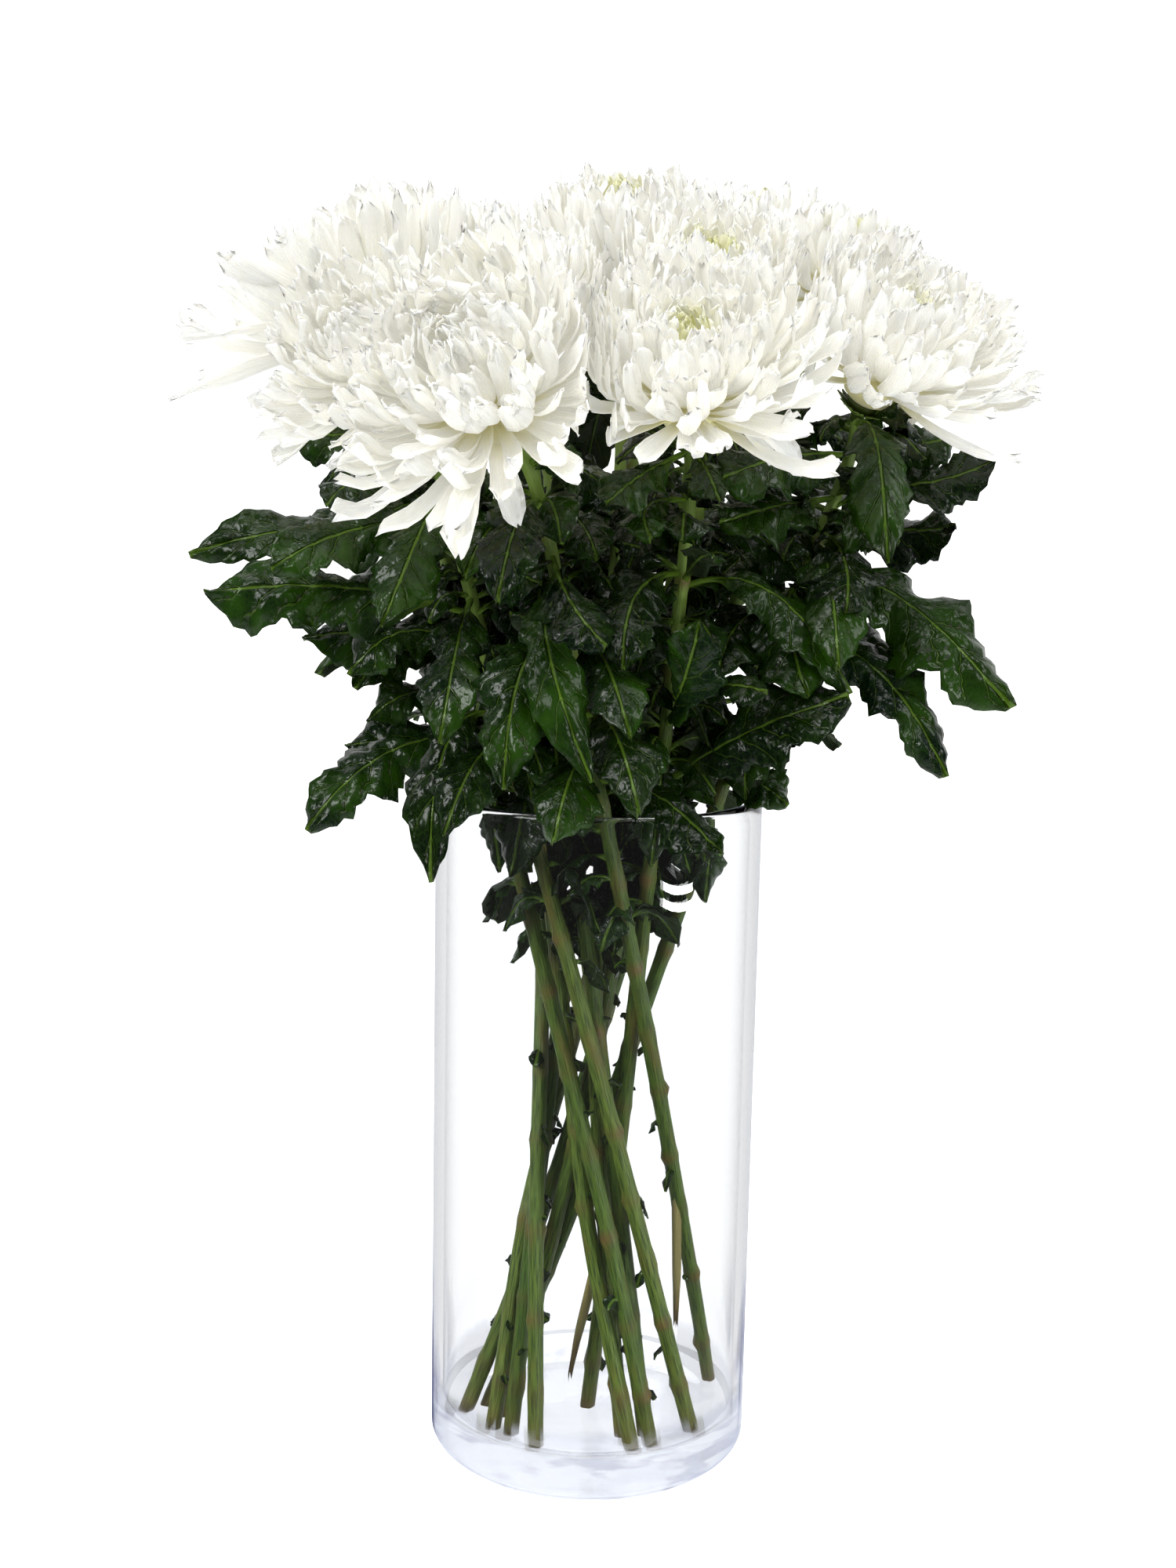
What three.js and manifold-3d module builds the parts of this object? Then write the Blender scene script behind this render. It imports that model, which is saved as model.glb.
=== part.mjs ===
// White chrysanthemums standing in a clear glass cylinder vase.
// Millimetres, +Z up, origin at the centre of the vase's underside, the photographed side toward -Y.
import * as THREE from 'three';
import { mergeVertices } from 'three/addons/utils/BufferGeometryUtils.js';
import Module from 'manifold-3d';

const wasm = await Module();
wasm.setup();

const V = (x, y, z) => new THREE.Vector3(x, y, z);
const UP = V(0, 0, 1);

// Vase
const GLASS_RADIUS = 72;
const GLASS_HEIGHT = 300;
const GLASS_WALL = 5;
const GLASS_FLOOR = 19;
const GLASS_FOOT_ROUND = 7;
const GLASS_SEGMENTS = 32;

// Slivers smaller than this are tidied away when parts are fused.
const FUSE_TOLERANCE = 0.12;

// Stems stand this far off the glass floor, and each flower head this far off its cup.
const GAP = 0.3;
const STEM_SIDES = 6;
const STEM_RINGS = 9;
const STEM_RADIUS_LOW = 3.75;
const STEM_RADIUS_HIGH = 2.65;
const STEM_THINS_FROM = 200;
const STEM_THINS_TO = 450;
const CUP_RADIUS = 7.5;
const CUP_DEPTH = 7;

// Half the thickness of petals, leaf blades and leaf stalks.
const PETAL_HALF = 0.5;
const LEAF_HALF = 0.45;
const STALK_HALF = 0.9;

// Each flower head: the point where it meets its stem's cup, the way it faces, its radius, how many degrees
// further its outer petals spread and its inner ones open, and the petals in each layer, outermost first.
const HEADS = {
  a: {
    base: [-86, -48, 472], faces: [-0.42, -0.7, 0.58], radius: 42, spread: 0, open: 26,
    petals: [5, 5, 4, 3], seed: 11,
  },
  b: {
    base: [-42, -76, 458], faces: [-0.38, -0.72, 0.58], radius: 54, spread: -6, open: 26,
    petals: [7, 6, 4, 3], seed: 12,
  },
  c: {
    base: [-97, 8, 489], faces: [-0.44, 0, 0.9], radius: 60, spread: -24, open: -6,
    petals: [7, 6, 4, 2], seed: 13,
  },
  d: {
    base: [-34, -14, 488], faces: [-0.05, -0.3, 0.95], radius: 44, spread: 0, open: 6,
    petals: [5, 5, 4, 3], seed: 14,
  },
  e: {
    base: [7, 55, 517], faces: [-0.05, -0.28, 0.96], radius: 46, spread: 0, open: 8,
    petals: [5, 5, 4, 3], seed: 15,
  },
  f: {
    base: [40, -2, 494], faces: [0.04, -0.56, 0.83], radius: 48, spread: 0, open: 8,
    petals: [5, 5, 4, 3], seed: 16,
  },
  g: {
    base: [33, -62, 459], faces: [-0.06, -0.64, 0.76], radius: 53, spread: -10, open: 2,
    petals: [6, 6, 4, 3], seed: 17,
  },
  h: {
    base: [108, -19, 471], faces: [0.34, -0.48, 0.81], radius: 52, spread: -12, open: 2,
    petals: [6, 6, 4, 3], seed: 18,
  },
  i: {
    base: [96, 40, 509], faces: [0.28, -0.05, 0.96], radius: 42, spread: 0, open: 10,
    petals: [4, 5, 3, 1], seed: 19,
  },
  j: {
    base: [-61, 66, 508], faces: [-0.2, 0.08, 0.98], radius: 43, spread: 0, open: 6,
    petals: [3, 4, 3, 1], seed: 20,
  },
  k: {
    base: [64, 92, 520], faces: [0.16, 0.12, 0.98], radius: 45, spread: 0, open: 8,
    petals: [3, 4, 3, 1], seed: 21,
  },
  l: {
    base: [-30, 122, 512], faces: [-0.1, 0.4, 0.91], radius: 42, spread: 0, open: 8,
    petals: [3, 4, 3, 1], seed: 22,
  },
  m: {
    base: [21, 142, 516], faces: [0.05, 0.48, 0.88], radius: 42, spread: 0, open: 8,
    petals: [3, 4, 3, 1], seed: 23,
  },
};

// Each stem, from its cut end on the glass floor to just under its head: seven points of one smooth curve.
const STEMS = {
  a: [
    [45, -38, 19.3], [23, -38, 104], [0, -36, 189], [-24, -33, 274], [-48, -30, 358], [-71, -27, 443],
    [-83, -43, 468],
  ],
  b: [
    [58, 13, 19.3], [42, -5, 101], [26, -24, 182], [9, -37, 264], [-9, -46, 346], [-27, -56, 428],
    [-40, -71, 454],
  ],
  c: [
    [27, -52, 19.3], [9, -41, 105], [-14, -29, 192], [-37, -16, 279], [-60, -4, 366], [-82, 8, 452],
    [-94, 8, 483],
  ],
  d: [
    [25, -42, 19.3], [14, -32, 106], [2, -25, 192], [-10, -18, 278], [-21, -11, 364], [-32, -4, 450],
    [-34, -12, 482],
  ],
  e: [
    [15, -43, 19.3], [6, -27, 109], [0, -11, 200], [2, 14, 293], [5, 39, 386], [8, 64, 478],
    [7, 57, 510],
  ],
  f: [
    [-37, -26, 19.3], [-16, -17, 106], [3, -4, 195], [16, 2, 282], [27, 6, 369], [39, 9, 461],
    [40, 2, 489],
  ],
  g: [
    [0, -16, 19.3], [8, -17, 100], [15, -19, 181], [21, -27, 261], [28, -39, 341], [34, -49, 427],
    [33, -58, 454],
  ],
  h: [
    [-45, -16, 19.3], [-12, -10, 101], [15, -10, 184], [42, -10, 268], [69, -11, 351], [101, -9, 438],
    [106, -16, 466],
  ],
  i: [
    [-54, -22, 19.3], [-22, -4, 107], [5, 7, 198], [32, 19, 289], [59, 30, 380], [86, 42, 471],
    [94, 40, 503],
  ],
  j: [
    [19, -56, 19.3], [-1, -33, 110], [-14, -9, 200], [-27, 15, 290], [-41, 39, 379], [-54, 63, 469],
    [-60, 66, 502],
  ],
  k: [
    [-41, -39, 19.3], [-28, -8, 114], [-4, 20, 205], [16, 42, 297], [37, 65, 389], [58, 88, 481],
    [63, 91, 514],
  ],
  l: [
    [-22, -55, 19.3], [-24, -28, 112], [-24, 6, 203], [-25, 40, 294], [-26, 74, 384], [-27, 108, 475],
    [-30, 119, 506],
  ],
  m: [
    [-33, -44, 19.3], [-25, -18, 113], [-15, 15, 205], [-3, 52, 297], [8, 89, 388], [19, 126, 480],
    [21, 139, 510],
  ],
};

// Leaves, by stem: height of the joint on the stem, x y z of the point the midrib bends toward, x y z
// of the tip, half width, and the compass angle its upper face turns to (-90 is the photographed side).
const LEAVES = {
  a: [
    [432, -74, -72, 416, -87, -86, 377, 14, -95],
    [415, -102, -55, 422, -133, -70, 398, 17, -90],
    [400, -41, -62, 401, -25, -72, 394, 14, -90],
    [385, -58, -72, 380, -64, -84, 331, 14, -100],
    [378, -106, -50, 397, -163, -52, 387, 21, -90],
    [362, -86, -44, 386, -104, -50, 354, 14, -120],
    [335, -71, -60, 353, -69, -66, 271, 13, -100],
    [322, -50, -66, 337, -63, -75, 292, 13, -90],
    [302, -28, -46, 315, -36, -44, 270, 12, -90],
  ],
  b: [
    [440, -10, -48, 448, 6, -39, 424, 14, -60],
    [426, -35, -85, 431, -41, -103, 389, 14, -90],
    [405, -17, -88, 389, 1, -98, 372, 14, -80],
    [392, -34, -92, 392, -4, -100, 319, 12, -80],
    [372, -37, -88, 381, -38, -96, 315, 17, -90],
    [366, -1, -73, 383, 11, -97, 336, 14, -90],
    [338, 5, -80, 352, 15, -108, 308, 14, -90],
    [316, -11, -79, 336, -18, -106, 296, 14, -90],
    [311, 26, -63, 315, 49, -80, 287, 14, -60],
  ],
  c: [
    [459, -106, 26, 463, -127, 42, 429, 14, -120],
    [452, -112, -4, 454, -137, -4, 451, 12, -110],
    [436, -106, -24, 441, -116, -32, 423, 13, -110],
    [424, -84, -34, 427, -94, -37, 416, 12, -95],
    [412, -125, -5, 420, -177, -15, 401, 13, -60],
    [385, -99, 5, 400, -125, 9, 348, 14, 170],
    [358, -95, -8, 375, -129, -11, 365, 14, -120],
    [352, -87, -28, 376, -103, -38, 347, 13, -100],
    [335, -80, -15, 355, -100, -20, 331, 12, -110],
    [322, -92, -30, 335, -123, -45, 288, 17, -100],
    [317, -84, -10, 325, -111, -9, 319, 14, -120],
    [300, -48, -22, 304, -42, -20, 267, 8, -110],
  ],
  d: [
    [425, -9, -62, 427, -3, -74, 404, 11, -90],
    [411, -45, -43, 433, -56, -68, 396, 14, -90],
    [393, -25, -52, 409, -28, -48, 374, 12, -75],
    [355, 0, -40, 351, 6, -40, 324, 10, -110],
    [330, -22, -40, 332, -16, -48, 310, 11, -90],
    [325, 22, -20, 346, 50, -24, 296, 14, -60],
  ],
  e: [
    [470, -2, 99, 496, -10, 126, 430, 14, 105],
    [426, -10, 17, 434, -21, -4, 387, 14, -90],
    [406, 10, 15, 384, 22, 9, 355, 15, -80],
  ],
  f: [
    [455, 66, 18, 468, 87, 24, 431, 14, 15],
    [440, 22, -28, 447, 10, -58, 400, 14, -90],
    [421, 37, -24, 402, 43, -33, 376, 14, -85],
    [365, 17, -24, 364, 13, -36, 342, 13, -90],
  ],
  g: [
    [452, 10, -78, 438, 0, -86, 426, 12, -95],
    [446, 38, -80, 446, 44, -86, 428, 8, -80],
    [428, 8, -70, 431, 18, -82, 413, 10, -90],
    [416, 66, -27, 423, 86, -15, 394, 14, -60],
    [398, 6, -76, 402, 8, -86, 362, 16, -90],
    [392, 69, -55, 412, 101, -63, 352, 14, -60],
    [346, 50, -78, 360, 65, -87, 354, 8, -90],
    [335, 31, -76, 347, 38, -86, 382, 15, -90],
    [322, 21, -66, 344, 19, -74, 314, 9, -85],
    [312, 27, -46, 326, 22, -42, 275, 12, -85],
    [306, 52, -58, 336, 100, -66, 351, 20, -85],
  ],
  h: [
    [463, 110, -53, 473, 112, -73, 405, 14, -90],
    [458, 126, -6, 449, 148, -4, 457, 15, -70],
    [448, 71, -56, 450, 46, -66, 437, 18, -90],
    [440, 128, -22, 429, 164, -18, 447, 15, -80],
    [430, 69, -52, 428, 46, -58, 419, 17, -95],
    [424, 102, -36, 427, 121, -42, 412, 15, -80],
    [415, 103, -48, 410, 98, -60, 384, 17, -85],
    [409, 93, -46, 413, 94, -75, 363, 14, -90],
    [402, 129, -32, 399, 171, -38, 344, 23, -80],
    [392, 69, -50, 393, 83, -66, 350, 21, -90],
    [385, 50, -46, 386, 47, -60, 356, 14, -100],
    [372, 120, -34, 374, 145, -40, 315, 16, -80],
    [367, 105, -14, 373, 127, -17, 365, 14, -60],
    [322, 72, -40, 334, 88, -52, 337, 11, -85],
    [304, 62, -30, 317, 80, -36, 301, 12, -80],
    [288, 49, -16, 287, 47, -14, 254, 9, -70],
  ],
  i: [
    [460, 113, 43, 466, 138, 46, 439, 14, -60],
    [450, 86, -2, 455, 82, -6, 467, 13, -90],
    [438, 100, 63, 443, 114, 78, 437, 14, -60],
    [430, 108, 49, 447, 133, 59, 408, 14, 20],
    [425, 125, -2, 412, 151, -6, 419, 17, -80],
    [414, 98, 59, 419, 121, 80, 419, 14, -60],
    [402, 65, -12, 411, 48, -16, 394, 17, -95],
    [380, 96, 51, 406, 122, 67, 352, 14, 30],
    [335, 83, 31, 348, 110, 36, 317, 14, 10],
  ],
  j: [
    [455, -89, 81, 481, -116, 96, 415, 14, 150],
    [420, -86, 50, 433, -114, 50, 391, 14, 180],
    [404, -51, 7, 396, -62, 3, 371, 14, -115],
    [392, -79, 30, 407, -97, 24, 372, 14, -120],
    [375, -65, 68, 396, -84, 89, 339, 14, 130],
    [335, -74, 34, 346, -103, 39, 311, 14, 170],
  ],
  k: [
    [460, 76, 110, 486, 93, 130, 420, 14, 50],
    [423, 83, 68, 431, 115, 63, 377, 14, -60],
    [415, 49, 106, 439, 54, 132, 392, 14, 80],
    [395, 1, 51, 411, -34, 37, 381, 14, -120],
    [370, 70, 74, 387, 96, 83, 339, 14, 20],
    [325, 43, 85, 351, 58, 111, 307, 14, 60],
  ],
  l: [
    [450, -33, 137, 474, -38, 164, 420, 14, 100],
    [400, -56, 105, 420, -77, 123, 362, 14, 140],
    [365, -58, 59, 388, -86, 52, 323, 14, -120],
    [360, -26, 99, 371, -26, 124, 342, 14, 90],
    [325, -59, 71, 345, -84, 86, 306, 14, 150],
  ],
  m: [
    [455, 22, 152, 473, 27, 178, 435, 14, 80],
    [425, -13, 134, 440, -31, 156, 409, 14, 130],
    [370, 24, 113, 381, 37, 136, 342, 14, 60],
    [330, -6, 103, 356, -10, 130, 287, 14, 100],
  ],
};

// Petal layers, outermost first: how far down the core the root sits (90 is its equator), angle from the
// head's axis at the root and at the tip in degrees, length and half width as shares of the head's radius.
const LAYERS = [
  { place: 108, root: 105, tip: 76, length: 0.93, half: 0.21, bent: false, opens: 'spread' },
  { place: 91, root: 93, tip: 40, length: 0.95, half: 0.25, bent: true, opens: 'spread' },
  { place: 69, root: 71, tip: 6, length: 0.87, half: 0.24, bent: true, opens: 'open' },
  { place: 49, root: 49, tip: -18, length: 0.68, half: 0.20, bent: false, opens: 'open' },
];

// The dense middle of a head: its radius and height as shares of the head's radius.
const CORE_RADIUS = 0.26;
const CORE_HEIGHT = 0.44;
const CORE_SIDES = 8;

// Petal outlines: place along the length, half width as a share of the petal's own half width.
// The long middle layers bend most, so they have one more row.
const PETAL_ROWS_BENT = [[0, 0.30], [0.42, 0.85], [0.80, 1], [1, 0.55]];
const PETAL_ROWS_PLAIN = [[0, 0.30], [0.66, 1], [1, 0.60]];

// Leaf outlines, stalk first: place along the midrib, half width share, how far the edge sweeps forward.
const LEAF_ROWS_SMALL = [
  [0.00, 0.05, 0], [0.20, 0.09, 0], [0.44, 0.85, 0.05], [0.56, 0.50, 0],
  [0.74, 1.00, 0.07], [1.00, 0.06, 0],
];
const LEAF_ROWS_LARGE = [
  [0.00, 0.05, 0], [0.20, 0.09, 0], [0.38, 0.78, 0.05], [0.50, 0.42, 0],
  [0.64, 1.00, 0.07], [0.77, 0.50, 0], [0.87, 0.60, 0.05], [1.00, 0.05, 0],
];

// Leaves at least this wide, from midrib to edge, have three lobes a side and are folded along the midrib.
// Smaller ones have two lobes a side and are flat across.
const LEAF_LARGE_FROM = 14.5;

// The edges of a leaf hang below its midrib by this share of its half width.
const LEAF_EDGE_DROP = 0.22;

// The spaces between heads are measured from this share of the radius up each head's axis. A petal gives
// way from halfway to the plane that parts two heads, and stops this far short of it.
const HEAD_MIDDLE = 0.45;
const PETAL_CLEARANCE = 0.6;
const HEADS_NEAR = 20;

// Repeatable random numbers from 0 to 1.
function randomFrom(seed) {
  let state = seed >>> 0;
  return () => {
    state = (state + 0x6d2b79f5) >>> 0;
    let t = state;
    t = Math.imul(t ^ (t >>> 15), t | 1);
    t ^= t + Math.imul(t ^ (t >>> 7), t | 61);
    return ((t ^ (t >>> 14)) >>> 0) / 4294967296;
  };
}

// The vector of the given length at an angle from side toward other.
function spoke(side, other, angle, length) {
  return V(0, 0, 0)
    .addScaledVector(side, Math.cos(angle) * length)
    .addScaledVector(other, Math.sin(angle) * length);
}

// Closes a row of rings, each a loop of the same number of points, into one solid.
// Sides numbered splitFrom and up are split the other way, so both faces of a blade match.
function skin(rings, splitFrom, splitTo) {
  const n = rings[0].length;
  const position = rings.flat().flatMap((p) => [p.x, p.y, p.z]);
  const index = [];
  for (let i = 0; i + 1 < rings.length; i++) {
    for (let k = 0; k < n; k++) {
      const a = i * n + k;
      const b = i * n + (k + 1) % n;
      if (k >= splitFrom && k < splitTo) {
        index.push(a, b, a + n, b, b + n, a + n);
      } else {
        index.push(a, b, b + n, a, b + n, a + n);
      }
    }
  }
  const last = (rings.length - 1) * n;
  for (let k = 1; k + 1 < n; k++) {
    index.push(0, k + 1, k);
    index.push(last, last + k, last + k + 1);
  }
  const geometry = new THREE.BufferGeometry();
  geometry.setAttribute('position', new THREE.Float32BufferAttribute(position, 3));
  geometry.setIndex(index);
  return toSolid(geometry);
}

// A closed mesh as a solid, turned right side out.
function toSolid(geometry) {
  const position = geometry.attributes.position;
  const index = [...geometry.index.array];
  const corner = (k) => V(0, 0, 0).fromBufferAttribute(position, index[k]);
  let volume = 0;
  for (let i = 0; i < index.length; i += 3) {
    volume += corner(i).dot(corner(i + 1).cross(corner(i + 2)));
  }
  if (volume < 0) {
    for (let i = 0; i < index.length; i += 3) {
      [index[i], index[i + 1]] = [index[i + 1], index[i]];
    }
  }
  return new wasm.Manifold(new wasm.Mesh({
    numProp: 3,
    vertProperties: new Float32Array(position.array),
    triVerts: new Uint32Array(index),
  }));
}

// A blade from its middle surface, a grid of points, and half its thickness at each row.
function blade(grid, half) {
  const across = grid[0].length - 1;
  const rings = grid.map((row, i) => {
    const before = grid[Math.max(i - 1, 0)];
    const after = grid[Math.min(i + 1, grid.length - 1)];
    const top = [];
    const under = [];
    row.forEach((p, j) => {
      const along = after[j].clone().sub(before[j]);
      const side = row[Math.min(j + 1, across)].clone().sub(row[Math.max(j - 1, 0)]);
      const normal = along.cross(side).normalize().multiplyScalar(half[i]);
      top.push(p.clone().add(normal));
      under.unshift(p.clone().sub(normal));
    });
    return [...top, ...under];
  });
  return skin(rings, across + 1, 2 * across + 1);
}

// Fuses parts into one closed body: scraps are dropped and sealed hollows filled.
function fuse(parts) {
  const whole = wasm.Manifold.union(parts).simplify(FUSE_TOLERANCE);
  const pieces = whole.decompose();
  return pieces.reduce((best, piece) => (piece.volume() > best.volume() ? piece : best));
}

// A solid turned about Z from a profile of [radius, height] points that starts and ends on the axis.
function lathe(profile, segments) {
  const geometry = new THREE.LatheGeometry(profile.map(([r, z]) => new THREE.Vector2(r, z)), segments);
  geometry.rotateX(Math.PI / 2);
  geometry.deleteAttribute('normal');
  geometry.deleteAttribute('uv');
  const welded = mergeVertices(geometry, 1e-3);
  const index = [];
  for (let i = 0; i < welded.index.count; i += 3) {
    const [a, b, c] = [welded.index.getX(i), welded.index.getX(i + 1), welded.index.getX(i + 2)];
    if (a !== b && b !== c && a !== c) {
      index.push(a, b, c);
    }
  }
  welded.setIndex(index);
  return toSolid(welded);
}

// A straight cylinder with a thick floor, a rounded foot and a rounded lip.
function vase() {
  const inner = GLASS_RADIUS - GLASS_WALL;
  const profile = [[0, 0]];
  for (const angle of [-90, -60, -30, 0]) {
    const a = angle * Math.PI / 180;
    profile.push([
      GLASS_RADIUS - GLASS_FOOT_ROUND + GLASS_FOOT_ROUND * Math.cos(a),
      GLASS_FOOT_ROUND + GLASS_FOOT_ROUND * Math.sin(a),
    ]);
  }
  profile.push([GLASS_RADIUS, GLASS_HEIGHT - 1.6]);
  profile.push([GLASS_RADIUS - 1, GLASS_HEIGHT - 0.3]);
  profile.push([GLASS_RADIUS - GLASS_WALL / 2, GLASS_HEIGHT]);
  profile.push([inner + 1, GLASS_HEIGHT - 0.3]);
  profile.push([inner, GLASS_HEIGHT - 1.6]);
  profile.push([inner, GLASS_FLOOR + 4]);
  profile.push([inner - 1.2, GLASS_FLOOR + 1.2]);
  profile.push([inner - 4, GLASS_FLOOR]);
  profile.push([0, GLASS_FLOOR]);
  return lathe(profile, GLASS_SEGMENTS);
}

// Where a head stands and three square directions: its axis and two across it.
function headFrame(head) {
  const axis = V(...head.faces).normalize();
  const side = axis.clone().cross(Math.abs(axis.z) > 0.95 ? V(0, 1, 0) : UP).normalize();
  return { base: V(...head.base), axis, side, other: axis.clone().cross(side) };
}

// The point on the head's axis that the spaces between heads are measured from.
function headMiddle(head) {
  const { base, axis } = headFrame(head);
  return base.addScaledVector(axis, HEAD_MIDDLE * head.radius);
}

// Bends a point of one head back where it would pass the plane between it and a neighbour.
function keepOwnSpace(name, point) {
  const own = HEADS[name];
  const middle = headMiddle(own);
  for (let pass = 0; pass < 2; pass++) {
    for (const [other, head] of Object.entries(HEADS)) {
      if (other === name) {
        continue;
      }
      const toward = headMiddle(head).sub(middle);
      const distance = toward.length();
      const reaches = own.radius + head.radius;
      const limit = distance * own.radius / reaches - PETAL_HALF - PETAL_CLEARANCE;
      const reach = point.clone().sub(middle).dot(toward) / distance;
      const start = 0.5 * limit;
      if (distance < reaches + HEADS_NEAR && reach > start) {
        const room = limit - start;
        const bent = start + room * (1 - Math.exp((start - reach) / room));
        point.addScaledVector(toward, (bent - reach) / distance);
      }
    }
  }
  return point;
}

// One petal: it leaves the core outward and bends toward the head's axis along its length.
function petal(name, frame, layer, turn, random, radius) {
  const out = spoke(frame.side, frame.other, turn, 1);
  const across = frame.axis.clone().cross(out);
  const length = radius * layer.length * (0.88 + 0.24 * random());
  const half = radius * layer.half * (0.88 + 0.24 * random());
  const rootAngle = layer.root + 10 * (random() - 0.5);
  const tipAngle = layer.tip + HEADS[name][layer.opens] + 24 * (random() - 0.5);
  const roll = 0.5 * (random() - 0.5);
  const place = layer.place * Math.PI / 180;
  const middle = frame.base.clone()
    .addScaledVector(frame.axis, radius * CORE_HEIGHT * (0.5 + 0.42 * Math.cos(place)))
    .addScaledVector(out, radius * CORE_RADIUS * 0.86 * Math.sin(place));
  const angleAt = (t) => (rootAngle + (tipAngle - rootAngle) * t) * Math.PI / 180;
  const grid = [];
  let done = 0;
  const rows = layer.bent ? PETAL_ROWS_BENT : PETAL_ROWS_PLAIN;
  for (const [t, width] of rows) {
    const steps = 4;
    const step = length * (t - done) / steps;
    for (let s = 0; s < steps; s++) {
      const u = done + (t - done) * (s + 0.5) / steps;
      middle.add(spoke(frame.axis, out, angleAt(u), step));
    }
    done = t;
    const normal = spoke(frame.axis, out, angleAt(t) - Math.PI / 2, 1);
    const edge = spoke(across, normal, roll * t, half * width);
    const row = [-1, 1].map((s) => middle.clone().addScaledVector(edge, s));
    grid.push(t > 0.2 ? row.map((p) => keepOwnSpace(name, p)) : row);
  }
  return blade(grid, grid.map(() => PETAL_HALF));
}

// The dense middle that the petals root in, standing on the stem's cup.
function core(frame, radius) {
  const levels = [
    [0, CUP_RADIUS / radius], [0.2, 0.88 * CORE_RADIUS], [0.5, CORE_RADIUS],
    [0.8, 0.8 * CORE_RADIUS], [1, 0.35 * CORE_RADIUS],
  ];
  const rings = levels.map(([level, share]) => {
    const middle = frame.base.clone().addScaledVector(frame.axis, level * CORE_HEIGHT * radius);
    const ring = [];
    for (let k = 0; k < CORE_SIDES; k++) {
      const a = k * Math.PI * 2 / CORE_SIDES;
      ring.push(middle.clone().add(spoke(frame.side, frame.other, a, share * radius)));
    }
    return ring;
  });
  return skin(rings, 0, 0);
}

function bloom(name) {
  const head = HEADS[name];
  const frame = headFrame(head);
  const random = randomFrom(head.seed);
  const parts = [core(frame, head.radius)];
  LAYERS.forEach((layer, row) => {
    const count = head.petals[row];
    for (let k = 0; k < count; k++) {
      const turn = (k + 0.5 * (row % 2) + 0.3 * (random() - 0.5)) * Math.PI * 2 / count;
      parts.push(petal(name, frame, layer, turn, random, head.radius));
    }
  });
  return fuse(parts);
}

// Smooth curve through a stem's points, 0 to 6 along it.
function stemPoint(points, t) {
  const i = Math.min(Math.floor(t), points.length - 2);
  const f = t - i;
  const at = (k) => {
    if (k < 0) {
      return V(...points[0]).multiplyScalar(2).sub(V(...points[1]));
    }
    if (k >= points.length) {
      return V(...points[k - 1]).multiplyScalar(2).sub(V(...points[k - 2]));
    }
    return V(...points[k]);
  };
  return V(0, 0, 0)
    .addScaledVector(at(i - 1), -0.5 * f ** 3 + f ** 2 - 0.5 * f)
    .addScaledVector(at(i), 1.5 * f ** 3 - 2.5 * f ** 2 + 1)
    .addScaledVector(at(i + 1), -1.5 * f ** 3 + 2 * f ** 2 + 0.5 * f)
    .addScaledVector(at(i + 2), 0.5 * f ** 3 - 0.5 * f ** 2);
}

// Where along its curve a stem reaches a height.
function stemPlace(points, height) {
  let low = 0;
  let high = points.length - 1.3;
  for (let k = 0; k < 24; k++) {
    const middle = (low + high) / 2;
    if (stemPoint(points, middle).z < height) {
      low = middle;
    } else {
      high = middle;
    }
  }
  return low;
}

function stemRadius(z) {
  const thin = THREE.MathUtils.clamp((z - STEM_THINS_FROM) / (STEM_THINS_TO - STEM_THINS_FROM), 0, 1);
  return STEM_RADIUS_LOW + (STEM_RADIUS_HIGH - STEM_RADIUS_LOW) * thin;
}

// One ring of a stem, square to the direction given.
function ring(centre, normal, radius) {
  const side = V(0, 1, 0).cross(normal).normalize();
  const other = normal.clone().cross(side);
  const points = [];
  for (let k = 0; k < STEM_SIDES; k++) {
    points.push(centre.clone().add(spoke(side, other, k * Math.PI * 2 / STEM_SIDES, radius)));
  }
  return points;
}

// A bare stem with the cup that carries its head.
function stemBody(name) {
  const points = STEMS[name];
  const frame = headFrame(HEADS[name]);
  const rings = [];
  const last = points.length - 1;
  for (let k = 0; k <= STEM_RINGS; k++) {
    const t = last * k / STEM_RINGS;
    const centre = stemPoint(points, t);
    const ahead = stemPoint(points, Math.min(t + 0.05, last));
    const behind = stemPoint(points, Math.max(t - 0.05, 0));
    const normal = k === 0 ? UP.clone() : ahead.sub(behind).normalize();
    rings.push(ring(centre, normal, stemRadius(centre.z)));
  }
  rings.pop();
  const below = (depth) => frame.base.clone().addScaledVector(frame.axis, -GAP - depth);
  rings.push(ring(below(CUP_DEPTH), frame.axis, STEM_RADIUS_HIGH));
  rings.push(ring(below(0.45 * CUP_DEPTH), frame.axis, 0.8 * CUP_RADIUS));
  rings.push(ring(below(0), frame.axis, CUP_RADIUS));
  return skin(rings, 0, 0);
}

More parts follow.
